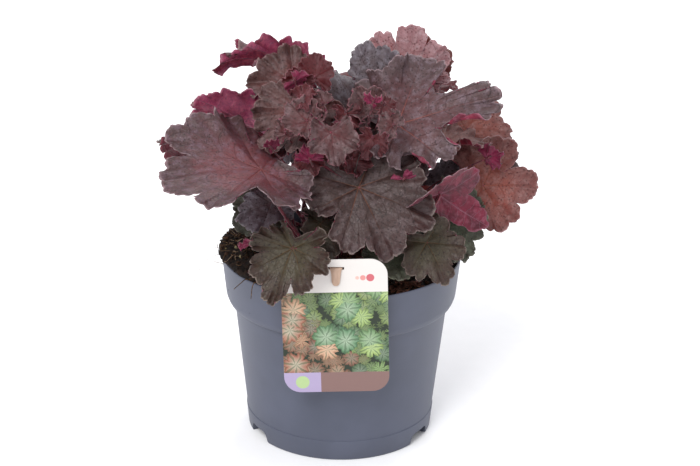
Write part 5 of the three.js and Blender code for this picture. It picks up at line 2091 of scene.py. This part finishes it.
@dataclass
class Studio:
    """A white sweep under soft light, seen slightly from above."""

    target_mm: tuple[float, float, float] = (6.5, 0.0, 163.3)
    elevation: float = 21.78
    distance_mm: float = 1508.5
    roll: float = 0.83
    focal_px: float = 1903.5
    width_px: int = 700
    sensor_mm: float = 36.0
    floor_radius: float = 3.0
    sky: tuple[str, float] = ("#f9faff", 0.86)
    aim: tuple[float, float, float] = (0.0, 0.0, 0.15)
    # The key light: its power, its angle and the way that it comes from.
    sun: tuple[float, float, tuple[float, float, float]] = (2.1, 28.0, (-0.6, -1.25, 1.6))
    # The soft box: its power, its size in metres and its place.
    box: tuple[float, float, tuple[float, float, float]] = (16.0, 1.2, (0.5, 1.4, 1.6))

    def build(self) -> None:
        """Set the floor, the lights and the camera."""
        self.floor()
        self.lights()
        self.camera()
        bpy.context.scene.view_settings.view_transform = "Standard"

    def floor(self) -> None:
        """Lay a pale round floor."""
        bm = bmesh.new()
        bmesh.ops.create_circle(bm, cap_ends=True, segments=96, radius=self.floor_radius)
        # Matt white card stock, faintly clouded by its fibres.
        material, add = new_material("white_paper_sweep")
        fibre = add(NOISE, add(COORDS).node.outputs["Object"], None, 60.0)
        body = add(MIX, fibre, data_type="RGBA", inputs={6: linear("#f8f8f8"), 7: linear("#fdfdfd")})
        add(OUTPUT, add(SKIN, inputs={"Base Color": body, "Roughness": 0.9, "Specular IOR Level": 0.1}))
        floor = to_object(bm, "paper_floor", [material])

    def lights(self) -> None:
        """Light the plant with a pale sky, a broad sun from the upper left front and a soft box behind."""
        world = bpy.data.worlds.new("white_studio")
        world.use_nodes = True
        tree = world.node_tree
        tree.nodes.clear()
        colour, power = self.sky
        add_node(tree, "ShaderNodeOutputWorld", add_node(tree, "ShaderNodeBackground", linear(colour), power))
        bpy.context.scene.world = world
        sun = bpy.data.lights.new("key", "SUN")
        sun.energy, angle, sun_place = self.sun
        sun.angle = math.radians(angle)
        box = bpy.data.lights.new("rim", "AREA")
        box.energy, box.size, box_place = self.box
        for lamp, place in ((sun, sun_place), (box, box_place)):
            holder = bpy.data.objects.new(lamp.name, lamp)
            holder.location = place
            holder.rotation_euler = (Vector(self.aim) - Vector(place)).to_track_quat("-Z", "Y").to_euler()
            bpy.context.scene.collection.objects.link(holder)

    def camera(self) -> None:
        """Set the camera in front of the plant."""
        lens = bpy.data.cameras.new("camera")
        lens.sensor_width = self.sensor_mm
        lens.lens = self.focal_px / self.width_px * self.sensor_mm
        lens.clip_start = 0.1
        camera = bpy.data.objects.new("camera", lens)
        height, roll = math.radians(self.elevation), math.radians(self.roll)
        back = Vector((0, -math.cos(height), math.sin(height)))
        right, up = Vector((1, 0, 0)), Vector((0, math.sin(height), math.cos(height)))
        x_axis = right * math.cos(roll) + up * math.sin(roll)
        y_axis = up * math.cos(roll) - right * math.sin(roll)
        turn = Matrix((x_axis, y_axis, back)).transposed().to_4x4()
        camera.matrix_world = Matrix.Translation((Vector(self.target_mm) + back * self.distance_mm) * MM) @ turn
        bpy.context.scene.collection.objects.link(camera)
        bpy.context.scene.camera = camera


def write_sizes() -> None:
    """Update the view layer.
    """
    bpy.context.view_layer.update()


def main() -> None:
    """Dress the whole plant and report its pieces."""
    logging.basicConfig(level=logging.INFO)
    pieces = [NurseryPot().build(), *RootBall().build(), Crown().build()]
    pieces += [PlantCard().build(), TieStrip().build(), *Foliage().build()]
    for piece in pieces:
        LOG.info("%s: %d faces", piece.name, len(piece.data.polygons))
    Studio().build()
    write_sizes()


if __name__ == "__main__":
    main()
